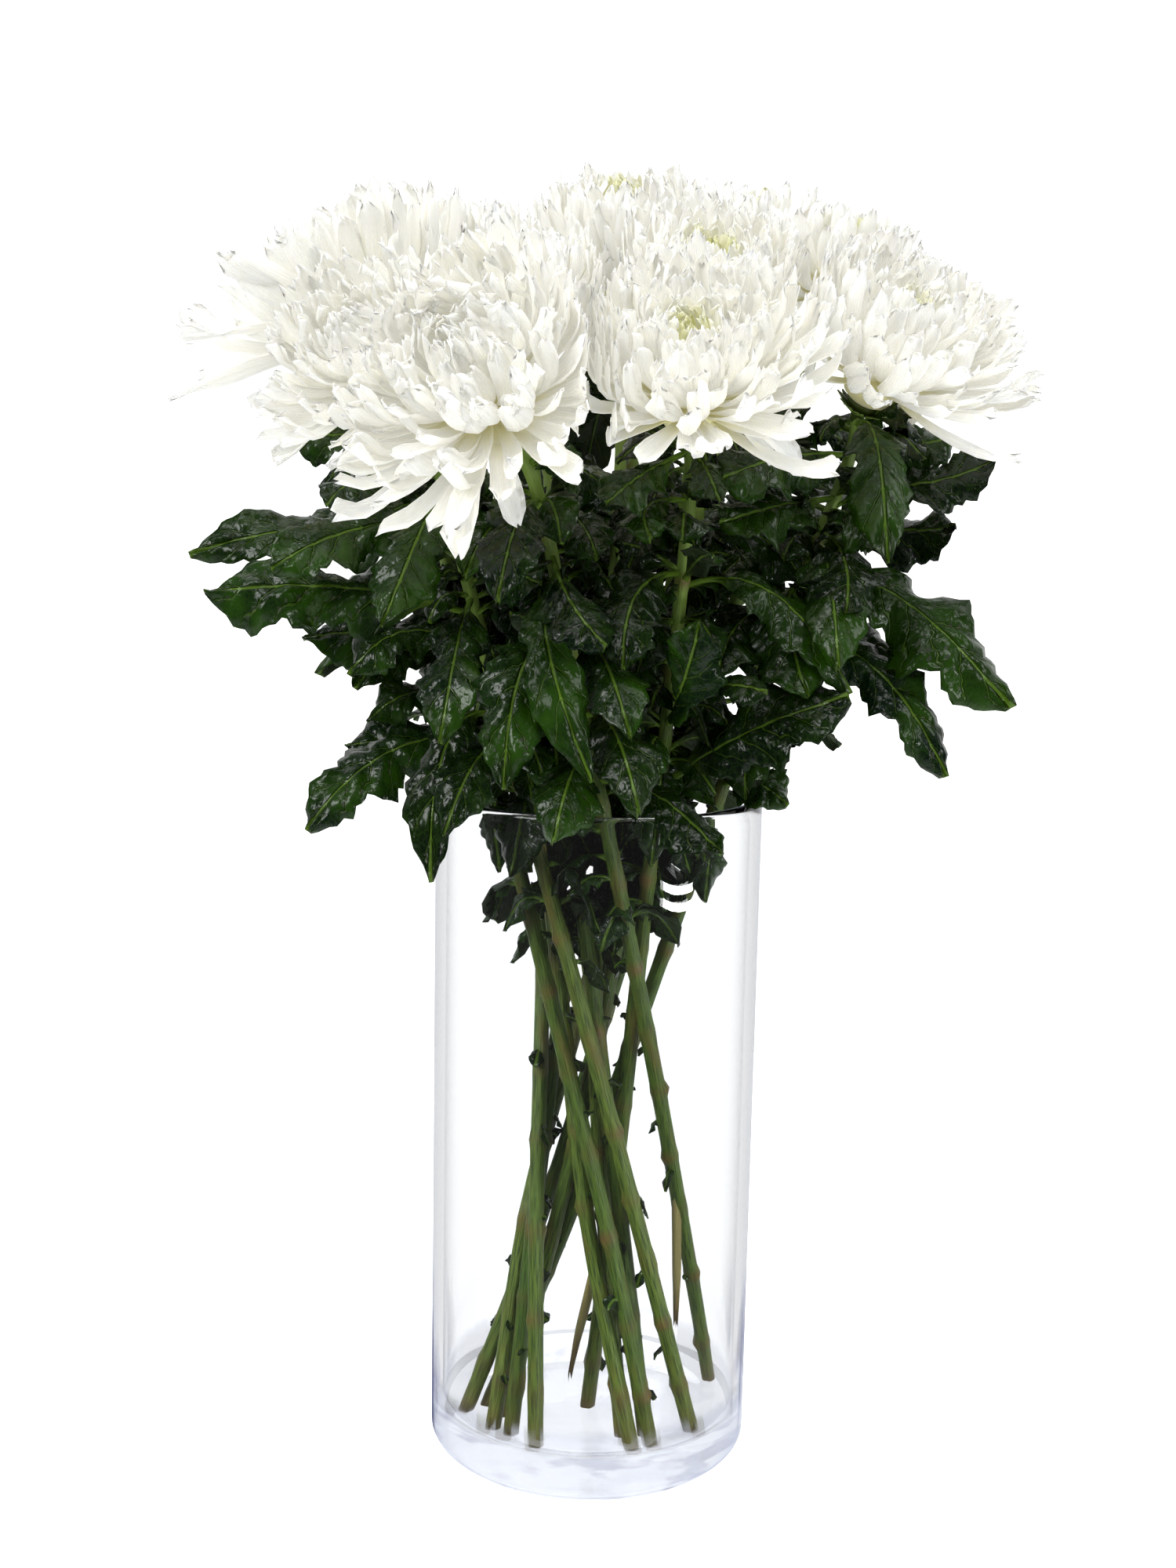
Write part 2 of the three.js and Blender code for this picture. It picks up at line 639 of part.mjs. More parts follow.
// One lobed leaf: stalk out of the stem, then a blade that bends over to its tip.
function leaf(stem, row) {
  const [height, bx, by, bz, tx, ty, tz, half, facing] = row;
  const start = stemPoint(STEMS[stem], stemPlace(STEMS[stem], height));
  const curve = new THREE.QuadraticBezierCurve3(start, V(bx, by, bz), V(tx, ty, tz));
  const face = facing * Math.PI / 180;
  const toward = V(Math.cos(face) * 0.8, Math.sin(face) * 0.8, 0.6);
  const grid = [];
  const thick = [];
  const large = half >= LEAF_LARGE_FROM;
  for (const [t, width, sweep] of large ? LEAF_ROWS_LARGE : LEAF_ROWS_SMALL) {
    const centre = curve.getPoint(t);
    const along = curve.getTangent(t);
    const side = along.clone().cross(toward).normalize();
    const normal = side.clone().cross(along);
    const places = large ? [-1, 0, 1] : [-1, 1];
    grid.push(places.map((s) => centre.clone()
      .addScaledVector(side, s * half * width)
      .addScaledVector(along, Math.abs(s) * sweep * half * 2)
      .addScaledVector(normal, -LEAF_EDGE_DROP * half * width * Math.abs(s))));
    thick.push(t < 0.3 ? STALK_HALF : LEAF_HALF);
  }
  return blade(grid, thick);
}

function stem(name) {
  return fuse([stemBody(name), ...(LEAVES[name] ?? []).map((row) => leaf(name, row))]);
}

function mesh(name, solid, material) {
  const { vertProperties, triVerts } = solid.getMesh();
  const geometry = new THREE.BufferGeometry();
  geometry.setAttribute('position', new THREE.BufferAttribute(new Float32Array(vertProperties), 3));
  geometry.setIndex(new THREE.BufferAttribute(new Uint32Array(triVerts), 1));
  geometry.computeVertexNormals();
  const result = new THREE.Mesh(geometry, material);
  result.name = name;
  return result;
}

const glass = new THREE.MeshStandardMaterial({
  color: 0xf2f6f8, roughness: 0.03, metalness: 0, transparent: true, opacity: 0.35,
});
const white = new THREE.MeshStandardMaterial({ color: 0xf6f5ec, roughness: 0.7, metalness: 0 });
const green = new THREE.MeshStandardMaterial({ color: 0x4a6138, roughness: 0.5, metalness: 0 });

const group = new THREE.Group();
group.add(mesh('vase', vase(), glass));
for (const name of Object.keys(HEADS)) {
  group.add(mesh(`bloom_${name}`, bloom(name), white));
  group.add(mesh(`stem_${name}`, stem(name), green));
}

export default group;
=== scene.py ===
# White chrysanthemums in a clear glass cylinder: the fine surfaces, materials, light and camera.
# Lengths here are millimetres until a mesh is written, in the part's own frame.
import math

import bpy
import numpy as np
from mathutils import Matrix, Vector


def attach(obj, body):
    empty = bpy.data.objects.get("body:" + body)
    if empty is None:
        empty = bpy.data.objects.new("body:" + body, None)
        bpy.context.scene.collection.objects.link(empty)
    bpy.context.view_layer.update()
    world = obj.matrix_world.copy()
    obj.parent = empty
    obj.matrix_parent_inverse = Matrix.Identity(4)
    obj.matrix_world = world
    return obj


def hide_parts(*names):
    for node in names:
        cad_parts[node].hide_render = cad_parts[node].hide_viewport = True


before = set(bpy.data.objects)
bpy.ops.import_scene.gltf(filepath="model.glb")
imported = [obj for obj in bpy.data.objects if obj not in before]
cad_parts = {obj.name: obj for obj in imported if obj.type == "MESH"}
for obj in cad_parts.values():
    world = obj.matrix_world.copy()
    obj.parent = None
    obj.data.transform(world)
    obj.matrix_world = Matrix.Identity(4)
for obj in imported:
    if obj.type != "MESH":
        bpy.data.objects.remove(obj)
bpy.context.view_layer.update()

MM = 0.001
SPIRAL = math.radians(137.508)
STEM_SEED = 7

# The flat map of leaves and stems: one unit is this many millimetres.
FLAT_MM = 100.0

# Vase, as in the part. Its wall has a ring of points at each of the GLASS_LEVELS.
GLASS_RADIUS = 72.0
GLASS_HEIGHT = 300.0
GLASS_WALL = 5.0
GLASS_FLOOR = 19.0
GLASS_FOOT_ROUND = 7.0
GLASS_FLOOR_ROUND = 4.0
GLASS_SIDES = 128
GLASS_LEVELS = (40, 80, 130, 180, 230, 270, 292)

# Stems and the cups under the heads. The stems are drawn a little slimmer than in the part.
GAP = 0.3
STEM_RADIUS_LOW = 3.3
STEM_RADIUS_HIGH = 2.65
STEM_THINS = (200.0, 450.0)
# Over these heights a stem turns a paler green: partly the upper stalk's own lighter colour, partly painted
# light against the shade under the heads.
STEM_PALER_AND_LIT = (330.0, 390.0)
STEM_RINGS = 120
STEM_SIDES = 18
CUP_RADIUS = 7.5
CUP_DEPTH = 7.0
CUP_SIDES = 24
BRACTS = 22

# Joints along a stem: the first, how far below the end they stop, the least and most between two, the turn
# between two, and how far each swells the stem all round and on its scarred side.
JOINT_FIRST = 22.0
JOINTS_STOP = 30.0
JOINT_STEP = (28, 46)
JOINT_TURN = math.radians(137.5)
JOINT_SWELLS = 0.45
JOINT_SCAR = 1.3

# Where a stem's last ring and its last leaf joint are, as a count of its seven points from 0.
STEM_STOPS = 5.9
LEAVES_STOP = 5.7

# Flower heads: where each meets its cup, the way it faces, its radius, seed and number of petals, then
# tall and long: how far its middle and its outermost petals reach, against the dome's own;
# sag: how far the outermost petals hang down, in mm;
# messy: how unlike each other its petals are;
# spread: how much further round than LOWEST the outermost petals point, in degrees;
# open: how open its middle is, up to FULLY_OPEN;
# green: how far its heart goes toward yellow-green.
FULLY_OPEN = 26.0
HEAD_FIELDS = (
    "base", "faces", "radius", "seed", "count", "tall", "long", "sag", "messy", "spread", "open", "green",
)
HEAD_ROWS = {
    "a": ((-86, -48, 472), (-0.42, -0.7, 0.58), 42, 11, 200, 1.0, 1.05, 3, 0.3, -10, 13, 0.86),
    "b": ((-42, -76, 458), (-0.38, -0.72, 0.58), 54, 12, 260, 1.0, 1.08, 2, 0.45, -18, 12, 0.87),
    "c": ((-97, 8, 489), (-0.44, 0, 0.9), 60, 13, 190, 0.86, 1.28, 8, 0.3, -16, 20, 1.0),
    "d": ((-34, -14, 488), (-0.05, -0.3, 0.95), 44, 14, 190, 0.95, 1.0, 2, 0.2, 0, 8, 0.9),
    "e": ((7, 55, 517), (-0.05, -0.28, 0.96), 46, 15, 210, 1.02, 1.0, 2, 0.3, 0, 8, 1.0),
    "f": ((40, -2, 494), (0.04, -0.56, 0.83), 48, 16, 220, 1.0, 1.0, 2, 0.15, -14, 16, 1.0),
    "g": ((33, -62, 459), (-0.06, -0.64, 0.76), 53, 17, 240, 1.0, 1.2, 1, 0.25, -30, 24, 1.0),
    "h": ((108, -19, 471), (0.34, -0.48, 0.81), 52, 18, 240, 1.0, 1.12, 1, 0.2, -26, 24, 1.0),
    "i": ((96, 40, 509), (0.28, -0.05, 0.96), 42, 19, 150, 1.0, 1.0, 2, 0.2, 0, 12, 1.0),
    "j": ((-61, 66, 508), (-0.2, 0.08, 0.98), 43, 20, 135, 1.0, 1.0, 2, 0.4, 0, 8, 1.0),
    "k": ((64, 92, 520), (0.16, 0.12, 0.98), 45, 21, 135, 1.0, 1.0, 2, 0.3, 0, 8, 1.0),
    "l": ((-30, 122, 512), (-0.1, 0.4, 0.91), 42, 22, 120, 1.0, 1.0, 2, 0.3, 0, 8, 1.0),
    "m": ((21, 142, 516), (0.05, 0.48, 0.88), 42, 23, 120, 1.0, 1.0, 2, 0.3, 0, 8, 1.0),
}
HEADS = {name: dict(zip(HEAD_FIELDS, row)) for name, row in HEAD_ROWS.items()}

# Stems: seven points each of one smooth curve, from the cut end to just under the head.
STEMS = {
    "a": [(45, -38, 19.3), (23, -38, 104), (0, -36, 189), (-24, -33, 274), (-48, -30, 358),
          (-71, -27, 443), (-83, -43, 468)],
    "b": [(58, 13, 19.3), (42, -5, 101), (26, -24, 182), (9, -37, 264), (-9, -46, 346),
          (-27, -56, 428), (-40, -71, 454)],
    "c": [(27, -52, 19.3), (9, -41, 105), (-14, -29, 192), (-37, -16, 279), (-60, -4, 366),
          (-82, 8, 452), (-94, 8, 483)],
    "d": [(25, -42, 19.3), (14, -32, 106), (2, -25, 192), (-10, -18, 278), (-21, -11, 364),
          (-32, -4, 450), (-34, -12, 482)],
    "e": [(15, -43, 19.3), (6, -27, 109), (0, -11, 200), (2, 14, 293), (5, 39, 386),
          (8, 64, 478), (7, 57, 510)],
    "f": [(-37, -26, 19.3), (-16, -17, 106), (3, -4, 195), (16, 2, 282), (27, 6, 369),
          (39, 9, 461), (40, 2, 489)],
    "g": [(0, -16, 19.3), (8, -17, 100), (15, -19, 181), (21, -27, 261), (28, -39, 341),
          (34, -49, 427), (33, -58, 454)],
    "h": [(-45, -16, 19.3), (-12, -10, 101), (15, -10, 184), (42, -10, 268), (69, -11, 351),
          (101, -9, 438), (106, -16, 466)],
    "i": [(-54, -22, 19.3), (-22, -4, 107), (5, 7, 198), (32, 19, 289), (59, 30, 380),
          (86, 42, 471), (94, 40, 503)],
    "j": [(19, -56, 19.3), (-1, -33, 110), (-14, -9, 200), (-27, 15, 290), (-41, 39, 379),
          (-54, 63, 469), (-60, 66, 502)],
    "k": [(-41, -39, 19.3), (-28, -8, 114), (-4, 20, 205), (16, 42, 297), (37, 65, 389),
          (58, 88, 481), (63, 91, 514)],
    "l": [(-22, -55, 19.3), (-24, -28, 112), (-24, 6, 203), (-25, 40, 294), (-26, 74, 384),
          (-27, 108, 475), (-30, 119, 506)],
    "m": [(-33, -44, 19.3), (-25, -18, 113), (-15, 15, 205), (-3, 52, 297), (8, 89, 388),
          (19, 126, 480), (21, 139, 510)],
}

# Leaves by stem: joint height, x y z that the midrib bends toward, x y z of the tip, half width, facing.
LEAVES = {
    "c": [
        (412, -125, -5, 420, -177, -15, 401, 13, -60), (352, -87, -28, 376, -103, -38, 347, 13, -100),
        (335, -80, -15, 355, -100, -20, 331, 12, -110), (322, -92, -30, 335, -123, -45, 288, 17, -100),
        (452, -112, -4, 454, -137, -4, 451, 12, -110), (436, -106, -24, 441, -116, -32, 423, 13, -110),
        (424, -84, -34, 427, -94, -37, 416, 12, -95), (300, -48, -22, 304, -42, -20, 267, 8, -110),
        (385, -99, 5, 400, -125, 9, 348, 14, 170), (358, -95, -8, 375, -129, -11, 365, 14, -120),
        (459, -106, 26, 463, -127, 42, 429, 14, -120), (317, -84, -10, 325, -111, -9, 319, 14, -120),
    ],
    "a": [
        (415, -102, -55, 422, -133, -70, 398, 17, -90), (378, -106, -50, 397, -163, -52, 387, 21, -90),
        (335, -71, -60, 353, -69, -66, 271, 13, -100), (322, -50, -66, 337, -63, -75, 292, 13, -90),
        (385, -58, -72, 380, -64, -84, 331, 14, -100), (400, -41, -62, 401, -25, -72, 394, 14, -90),
        (432, -74, -72, 416, -87, -86, 377, 14, -95), (302, -28, -46, 315, -36, -44, 270, 12, -90),
        (362, -86, -44, 386, -104, -50, 354, 14, -120),
    ],
    "b": [
        (372, -37, -88, 381, -38, -96, 315, 17, -90), (392, -34, -92, 392, -4, -100, 319, 12, -80),
        (405, -17, -88, 389, 1, -98, 372, 14, -80), (366, -1, -73, 383, 11, -97, 336, 14, -90),
        (440, -10, -48, 448, 6, -39, 424, 14, -60), (311, 26, -63, 315, 49, -80, 287, 14, -60),
        (426, -35, -85, 431, -41, -103, 389, 14, -90), (338, 5, -80, 352, 15, -108, 308, 14, -90),
        (316, -11, -79, 336, -18, -106, 296, 14, -90),
    ],
    "g": [
        (398, 6, -76, 402, 8, -86, 362, 16, -90), (452, 10, -78, 438, 0, -86, 426, 12, -95),
        (428, 8, -70, 431, 18, -82, 413, 10, -90), (446, 38, -80, 446, 44, -86, 428, 8, -80),
        (335, 31, -76, 347, 38, -86, 382, 15, -90), (306, 52, -58, 336, 100, -66, 351, 20, -85),
        (346, 50, -78, 360, 65, -87, 354, 8, -90), (322, 21, -66, 344, 19, -74, 314, 9, -85),
        (312, 27, -46, 326, 22, -42, 275, 12, -85), (416, 66, -27, 423, 86, -15, 394, 14, -60),
        (392, 69, -55, 412, 101, -63, 352, 14, -60),
    ],
    "d": [
        (425, -9, -62, 427, -3, -74, 404, 11, -90), (355, 0, -40, 351, 6, -40, 324, 10, -110),
        (393, -25, -52, 409, -28, -48, 374, 12, -75), (330, -22, -40, 332, -16, -48, 310, 11, -90),
        (411, -45, -43, 433, -56, -68, 396, 14, -90), (325, 22, -20, 346, 50, -24, 296, 14, -60),
    ],
    "h": [
        (322, 72, -40, 334, 88, -52, 337, 11, -85), (304, 62, -30, 317, 80, -36, 301, 12, -80),
        (392, 69, -50, 393, 83, -66, 350, 21, -90), (385, 50, -46, 386, 47, -60, 356, 14, -100),
        (402, 129, -32, 399, 171, -38, 344, 23, -80), (372, 120, -34, 374, 145, -40, 315, 16, -80),
        (440, 128, -22, 429, 164, -18, 447, 15, -80), (415, 103, -48, 410, 98, -60, 384, 17, -85),
        (448, 71, -56, 450, 46, -66, 437, 18, -90), (430, 69, -52, 428, 46, -58, 419, 17, -95),
        (424, 102, -36, 427, 121, -42, 412, 15, -80), (458, 126, -6, 449, 148, -4, 457, 15, -70),
        (288, 49, -16, 287, 47, -14, 254, 9, -70), (409, 93, -46, 413, 94, -75, 363, 14, -90),
        (463, 110, -53, 473, 112, -73, 405, 14, -90), (367, 105, -14, 373, 127, -17, 365, 14, -60),
    ],
    "i": [
        (425, 125, -2, 412, 151, -6, 419, 17, -80), (402, 65, -12, 411, 48, -16, 394, 17, -95),
        (450, 86, -2, 455, 82, -6, 467, 13, -90), (430, 108, 49, 447, 133, 59, 408, 14, 20),
        (380, 96, 51, 406, 122, 67, 352, 14, 30), (335, 83, 31, 348, 110, 36, 317, 14, 10),
        (460, 113, 43, 466, 138, 46, 439, 14, -60), (414, 98, 59, 419, 121, 80, 419, 14, -60),
        (438, 100, 63, 443, 114, 78, 437, 14, -60),
    ],
    "j": [
        (404, -51, 7, 396, -62, 3, 371, 14, -115), (455, -89, 81, 481, -116, 96, 415, 14, 150),
        (420, -86, 50, 433, -114, 50, 391, 14, 180), (375, -65, 68, 396, -84, 89, 339, 14, 130),
        (335, -74, 34, 346, -103, 39, 311, 14, 170), (392, -79, 30, 407, -97, 24, 372, 14, -120),
    ],
    "e": [
        (406, 10, 15, 384, 22, 9, 355, 15, -80), (470, -2, 99, 496, -10, 126, 430, 14, 105),
        (426, -10, 17, 434, -21, -4, 387, 14, -90),
    ],
    "f": [
        (421, 37, -24, 402, 43, -33, 376, 14, -85), (365, 17, -24, 364, 13, -36, 342, 13, -90),
        (455, 66, 18, 468, 87, 24, 431, 14, 15), (440, 22, -28, 447, 10, -58, 400, 14, -90),
    ],
    "m": [
        (455, 22, 152, 473, 27, 178, 435, 14, 80), (425, -13, 134, 440, -31, 156, 409, 14, 130),
        (370, 24, 113, 381, 37, 136, 342, 14, 60), (330, -6, 103, 356, -10, 130, 287, 14, 100),
    ],
    "l": [
        (450, -33, 137, 474, -38, 164, 420, 14, 100), (400, -56, 105, 420, -77, 123, 362, 14, 140),
        (360, -26, 99, 371, -26, 124, 342, 14, 90), (325, -59, 71, 345, -84, 86, 306, 14, 150),
        (365, -58, 59, 388, -86, 52, 323, 14, -120),
    ],
    "k": [
        (460, 76, 110, 486, 93, 130, 420, 14, 50), (415, 49, 106, 439, 54, 132, 392, 14, 80),
        (370, 70, 74, 387, 96, 83, 339, 14, 20), (325, 43, 85, 351, 58, 111, 307, 14, 60),
        (395, 1, 51, 411, -34, 37, 381, 14, -120), (423, 83, 68, 431, 115, 63, 377, 14, -60),
    ],
}
# Dry strips torn from two stems: the height they hang from and the place of the lower end.
HUSKS = {"b": (122, (40, -2, 60)), "e": (110, (-8, -22, 42))}
HUSK_RINGS = 12
HUSK_SIDES = 10

# Where petal tips lie on a head's dome: angle from its axis, then reach from the dome's middle and half the
# petal's width as shares of the head's radius.
DOME = np.array([
    [0.0, 0.74, 0.046], [25.0, 0.84, 0.066], [55.0, 1.02, 0.084], [85.0, 1.19, 0.094], [118.0, 1.24, 0.092],
])
LOWEST = 116.0
OUTER_SHARE = 0.35

# Shares of a head's radius: how far up its axis the dome's middle and its own are, and the size of the core
# under the petals; then the core's levels and how wide it is at each.
DOME_MIDDLE = 0.42
HEAD_MIDDLE = 0.45
CORE_RADIUS = 0.26
CORE_HEIGHT = 0.44
CORE_LEVELS = np.array([0.0, 0.1, 0.3, 0.5, 0.7, 0.88, 0.98])
CORE_SIZES = np.array([0.5, 0.8, 0.97, 1.0, 0.86, 0.5, 0.15])
CORE_SIDES = 24

# Heads press each other back: how far petals may pass the plane between two, the share of the way to it
# where they start to bend, and the gap between two heads beyond which they don't.
TIPS_PASS = 2.0
BENDS_FROM = 0.65
TOO_FAR = 20.0

# Petals: places along the length, half widths there, places across, and half the thickness across.
PETAL_ALONG = np.array([0, 6, 13, 20, 27, 32, 36, 39, 40]) / 40
PETAL_WIDTHS = np.array([0.34, 0.52, 0.72, 0.90, 1.0, 0.98, 0.88, 0.60, 0.28])
PETAL_ACROSS = np.linspace(-1, 1, 5)
PETAL_THICK = 0.24 - 0.12 * np.abs(PETAL_ACROSS) ** 3
PETAL_ROOT_THICK = 0.4
PETAL_GROOVE = 0.05
PETAL_NOTCH = 0.021

# How petals of a head vary: by this much in a neat head, and what a messy one adds. Polar and lean are in
# degrees and roll is in radians.
UNEVEN = dict(
    reach=(0.035, 0.05), polar=(3, 5), lean=(6, 8), hook=(0.05, 0.05), roll=(0.18, 0.2), sway=(0.05, 0.04),
)

# Leaf outlines: place along the midrib, half width share, forward sweep of the edge.
LEAF_ROWS_SMALL = np.array([
    [0.00, 0.04, 0], [0.20, 0.07, 0], [0.30, 0.42, 0.02], [0.43, 0.92, 0.05], [0.54, 0.60, 0.02],
    [0.70, 1.00, 0.07], [0.80, 0.80, 0.06], [0.91, 0.42, 0.03], [1.00, 0.03, 0],
])
LEAF_ROWS_LARGE = np.array([
    [0.00, 0.04, 0], [0.20, 0.07, 0], [0.28, 0.40, 0.02], [0.38, 0.84, 0.05], [0.48, 0.52, 0.02],
    [0.62, 1.00, 0.07], [0.72, 0.62, 0.03], [0.83, 0.72, 0.05], [0.92, 0.40, 0.03], [1.00, 0.03, 0],
])
LEAF_LARGE_FROM = 14.5
LEAF_ACROSS = np.array([-1, -0.82, -0.6, -0.38, -0.2, -0.06, 0, 0.06, 0.2, 0.38, 0.6, 0.82, 1])
TEETH_SMALL = 10
TEETH_LARGE = 13
TOOTH_DEPTH = 0.17

# Rows of points along a grown leaf, a young one and a scrap, and the heights where the last two grow.
LEAF_ALONG = 40
YOUNG_ALONG = 18
YOUNG_FROM = 318.0
SCRAP_ALONG = 10
SCRAPS_UP_TO = 425.0
SCRAPS_WITHIN = 60.0
SCRAPS_CROWD = (205.0, 262.0)
ABOVE_RIM = GLASS_HEIGHT + 14

# Side veins, as shares of the midrib: the first, the step between two, and the rise of each to the edge.
VEIN_FIRST = 0.22
VEIN_STEP = 0.13
VEIN_RISE = 0.16
VEIN_CELLS = 40
VEIN_CELLS_LOW = 10

# How far puckers and waves lift a leaf, as shares of its half width; and in mm, its unevenness, its sunk
# midrib and half its thickness.
LEAF_PUCKERS = 0.14
LEAF_WAVES = 0.24
LEAF_UNEVEN = 0.35
MIDRIB_SUNK = 0.25
LEAF_THICK = 0.20

# Material numbers of a mesh: a leafy stem has two, and any other piece has one.
ONLY = 0
LEAF = 0
STALK = 1


def unit(v):
    return v / np.maximum(np.linalg.norm(v, axis=-1, keepdims=True), 1e-9)


def smooth(a, b, x):
    t = np.clip((x - a) / (b - a), 0, 1)
    return t * t * (3 - 2 * t)


def show(obj):
    bpy.context.scene.collection.objects.link(obj)
    return obj


def circle(sides):
    return np.linspace(0, 2 * np.pi, sides, endpoint=False)


def turned(angles, side, other):
    """Directions at these angles in the plane of side and other."""
    return np.cos(angles)[:, None] * side + np.sin(angles)[:, None] * other


def curved(s, start, bend, end):
    """Points of the curve from start to end that leaves toward bend, and its direction at each."""
    points = (1 - s) ** 2 * start + 2 * s * (1 - s) * bend + s**2 * end
    return points, (1 - s) * (bend - start) + s * (end - bend)


def layers(shape, *values):
    """Stacks values for the points of a shape, spreading those that many points share."""
    return np.stack([np.broadcast_to(value, shape) for value in values], -1)


class Parts:
    """Collects surfaces and builds one mesh of them.

    Its map flat is the surface laid out. Its map marks holds a petal's place in the head and chance, or a
    leaf's way from midrib to edge and count of side veins. Its tone holds a petal's place, under side and
    way along; a leaf's chance, under side, stalk and second chance; or a stem's chance, upper part, scar,
    and 1 where green or 0 where dry.
    """

    def __init__(self):
        self.surfaces = []
        self.count = 0

    def add(self, points, faces, flat, marks, tones, kind):
        kinds = np.full(len(faces), kind, np.int32)
        self.surfaces.append((points, faces + self.count, flat, marks, tones, kinds))
        self.count += len(points)

    def build(self, name, materials):
        points, faces, flat, marks, tones, kinds = map(np.concatenate, zip(*self.surfaces))
        mesh = bpy.data.meshes.new(name)
        mesh.from_pydata(points * MM, [], faces, shade_flat=False)
        mesh.polygons.foreach_set("material_index", kinds)
        for layer, values in (("flat", flat), ("marks", marks)):
            uv = mesh.uv_layers.new(name=layer)
            uv.data.foreach_set("uv", values[faces.ravel()].astype(np.float32).ravel())
        tone = mesh.attributes.new("tone", "FLOAT_COLOR", "POINT")
        tone.data.foreach_set("color", tones.astype(np.float32).ravel())
        for material in materials:
            mesh.materials.append(material)
        mesh.validate()
        return show(bpy.data.objects.new(name, mesh))


def blade_faces(rows, columns):
    """Faces of one closed blade: its upper grid of points, then its lower grid."""
    faces = []
    under = rows * columns

    def at(i, j):
        return i * columns + j

    def wall(a, b):
        faces.append((a, under + a, under + b, b))

    for i in range(rows - 1):
        for j in range(columns - 1):
            a, b, c, d = at(i, j), at(i + 1, j), at(i + 1, j + 1), at(i, j + 1)
            faces.append((a, b, c, d))
            faces.append((under + d, under + c, under + b, under + a))
    for i in range(rows - 1):
        wall(at(i, 0), at(i + 1, 0))
        wall(at(i + 1, columns - 1), at(i, columns - 1))
    for j in range(columns - 1):
        wall(at(0, j + 1), at(0, j))
        wall(at(rows - 1, j), at(rows - 1, j + 1))
    return np.array(faces)


def add_blades(parts, grid, half, flat, marks, tone, kind):
    """Adds blades from their middle surfaces: grid is blades x rows x columns x 3."""
    blades, rows, columns, _ = grid.shape
    normal = unit(np.cross(np.gradient(grid, axis=1), np.gradient(grid, axis=2)))
    points = np.stack([grid + normal * half[..., None], grid - normal * half[..., None]], 1)
    first = np.arange(blades) * 2 * rows * columns
    faces = (blade_faces(rows, columns)[None] + first[:, None, None]).reshape(-1, 4)
    tones = np.stack([tone, tone], 1)
    tones[:, 1, ..., 1] = 1.0

    def both(values):
        return np.stack([values, values], 1).reshape(-1, values.shape[-1])

    parts.add(points.reshape(-1, 3), faces, both(flat), both(marks), tones.reshape(-1, 4), kind)


def add_tube(parts, rings, flat, tone, kind, closed_ends=True):
    """Adds a tube from rings x sides x 3 points, its ends drawn to a point at their middles."""
    rows, sides, _ = rings.shape
    flat = np.broadcast_to(flat, (rows, sides, 2))
    tone = np.broadcast_to(tone, (rows, sides, 4))
    if closed_ends:
        first = np.broadcast_to(rings[0].mean(0), (1, sides, 3))
        last = np.broadcast_to(rings[-1].mean(0), (1, sides, 3))
        rings = np.concatenate([first, rings, last])
        flat = np.concatenate([flat[:1], flat, flat[-1:]])
        tone = np.concatenate([tone[:1], tone, tone[-1:]])
        rows += 2
    i, k = np.meshgrid(np.arange(rows - 1) * sides, np.arange(sides), indexing="ij")
    n = (k + 1) % sides
    faces = np.stack([i + k, i + n, i + sides + n, i + sides + k], -1).reshape(-1, 4)
    flat = flat.reshape(-1, 2)
    parts.add(rings.reshape(-1, 3), faces, flat, flat, tone.reshape(-1, 4), kind)


def tube_flat(a, along):
    """A tube's flat map: mirrored round the tube so that no seam shows, and running along it."""
    return layers((len(along), len(a)), np.abs(a / np.pi - 1) * 0.2, along[:, None])


def head_frame(head):
    """A head's base, the axis it faces along, and two directions square to that."""
    axis = unit(np.array(head["faces"], float))
    side = unit(np.cross(axis, (0, 1, 0) if abs(axis[2]) > 0.95 else (0, 0, 1)))
    return np.array(head["base"], float), axis, side, np.cross(axis, side)


def head_middle(head):
    base, axis, _, _ = head_frame(head)
    return base + axis * HEAD_MIDDLE * head["radius"]


def keep_own_space(name, points):
    """Bends points of one head back from the planes between it and its neighbours."""
    own = HEADS[name]
    middle = head_middle(own)
    neighbours = [head for other, head in HEADS.items() if other != name]
    for head in neighbours * 2:
        toward = head_middle(head) - middle
        distance = np.linalg.norm(toward)
        both = own["radius"] + head["radius"]
        if distance > both + TOO_FAR:
            continue
        limit = distance * own["radius"] / both + TIPS_PASS
        start = BENDS_FROM * limit
        reach = (points - middle) @ toward / distance
        room = limit - start
        bent = start + room * (1 - np.exp(-np.maximum(reach - start, 0) / room))
        shift = np.where(reach > start, bent - reach, 0)
        points = points + shift[..., None] * toward / distance
    return points


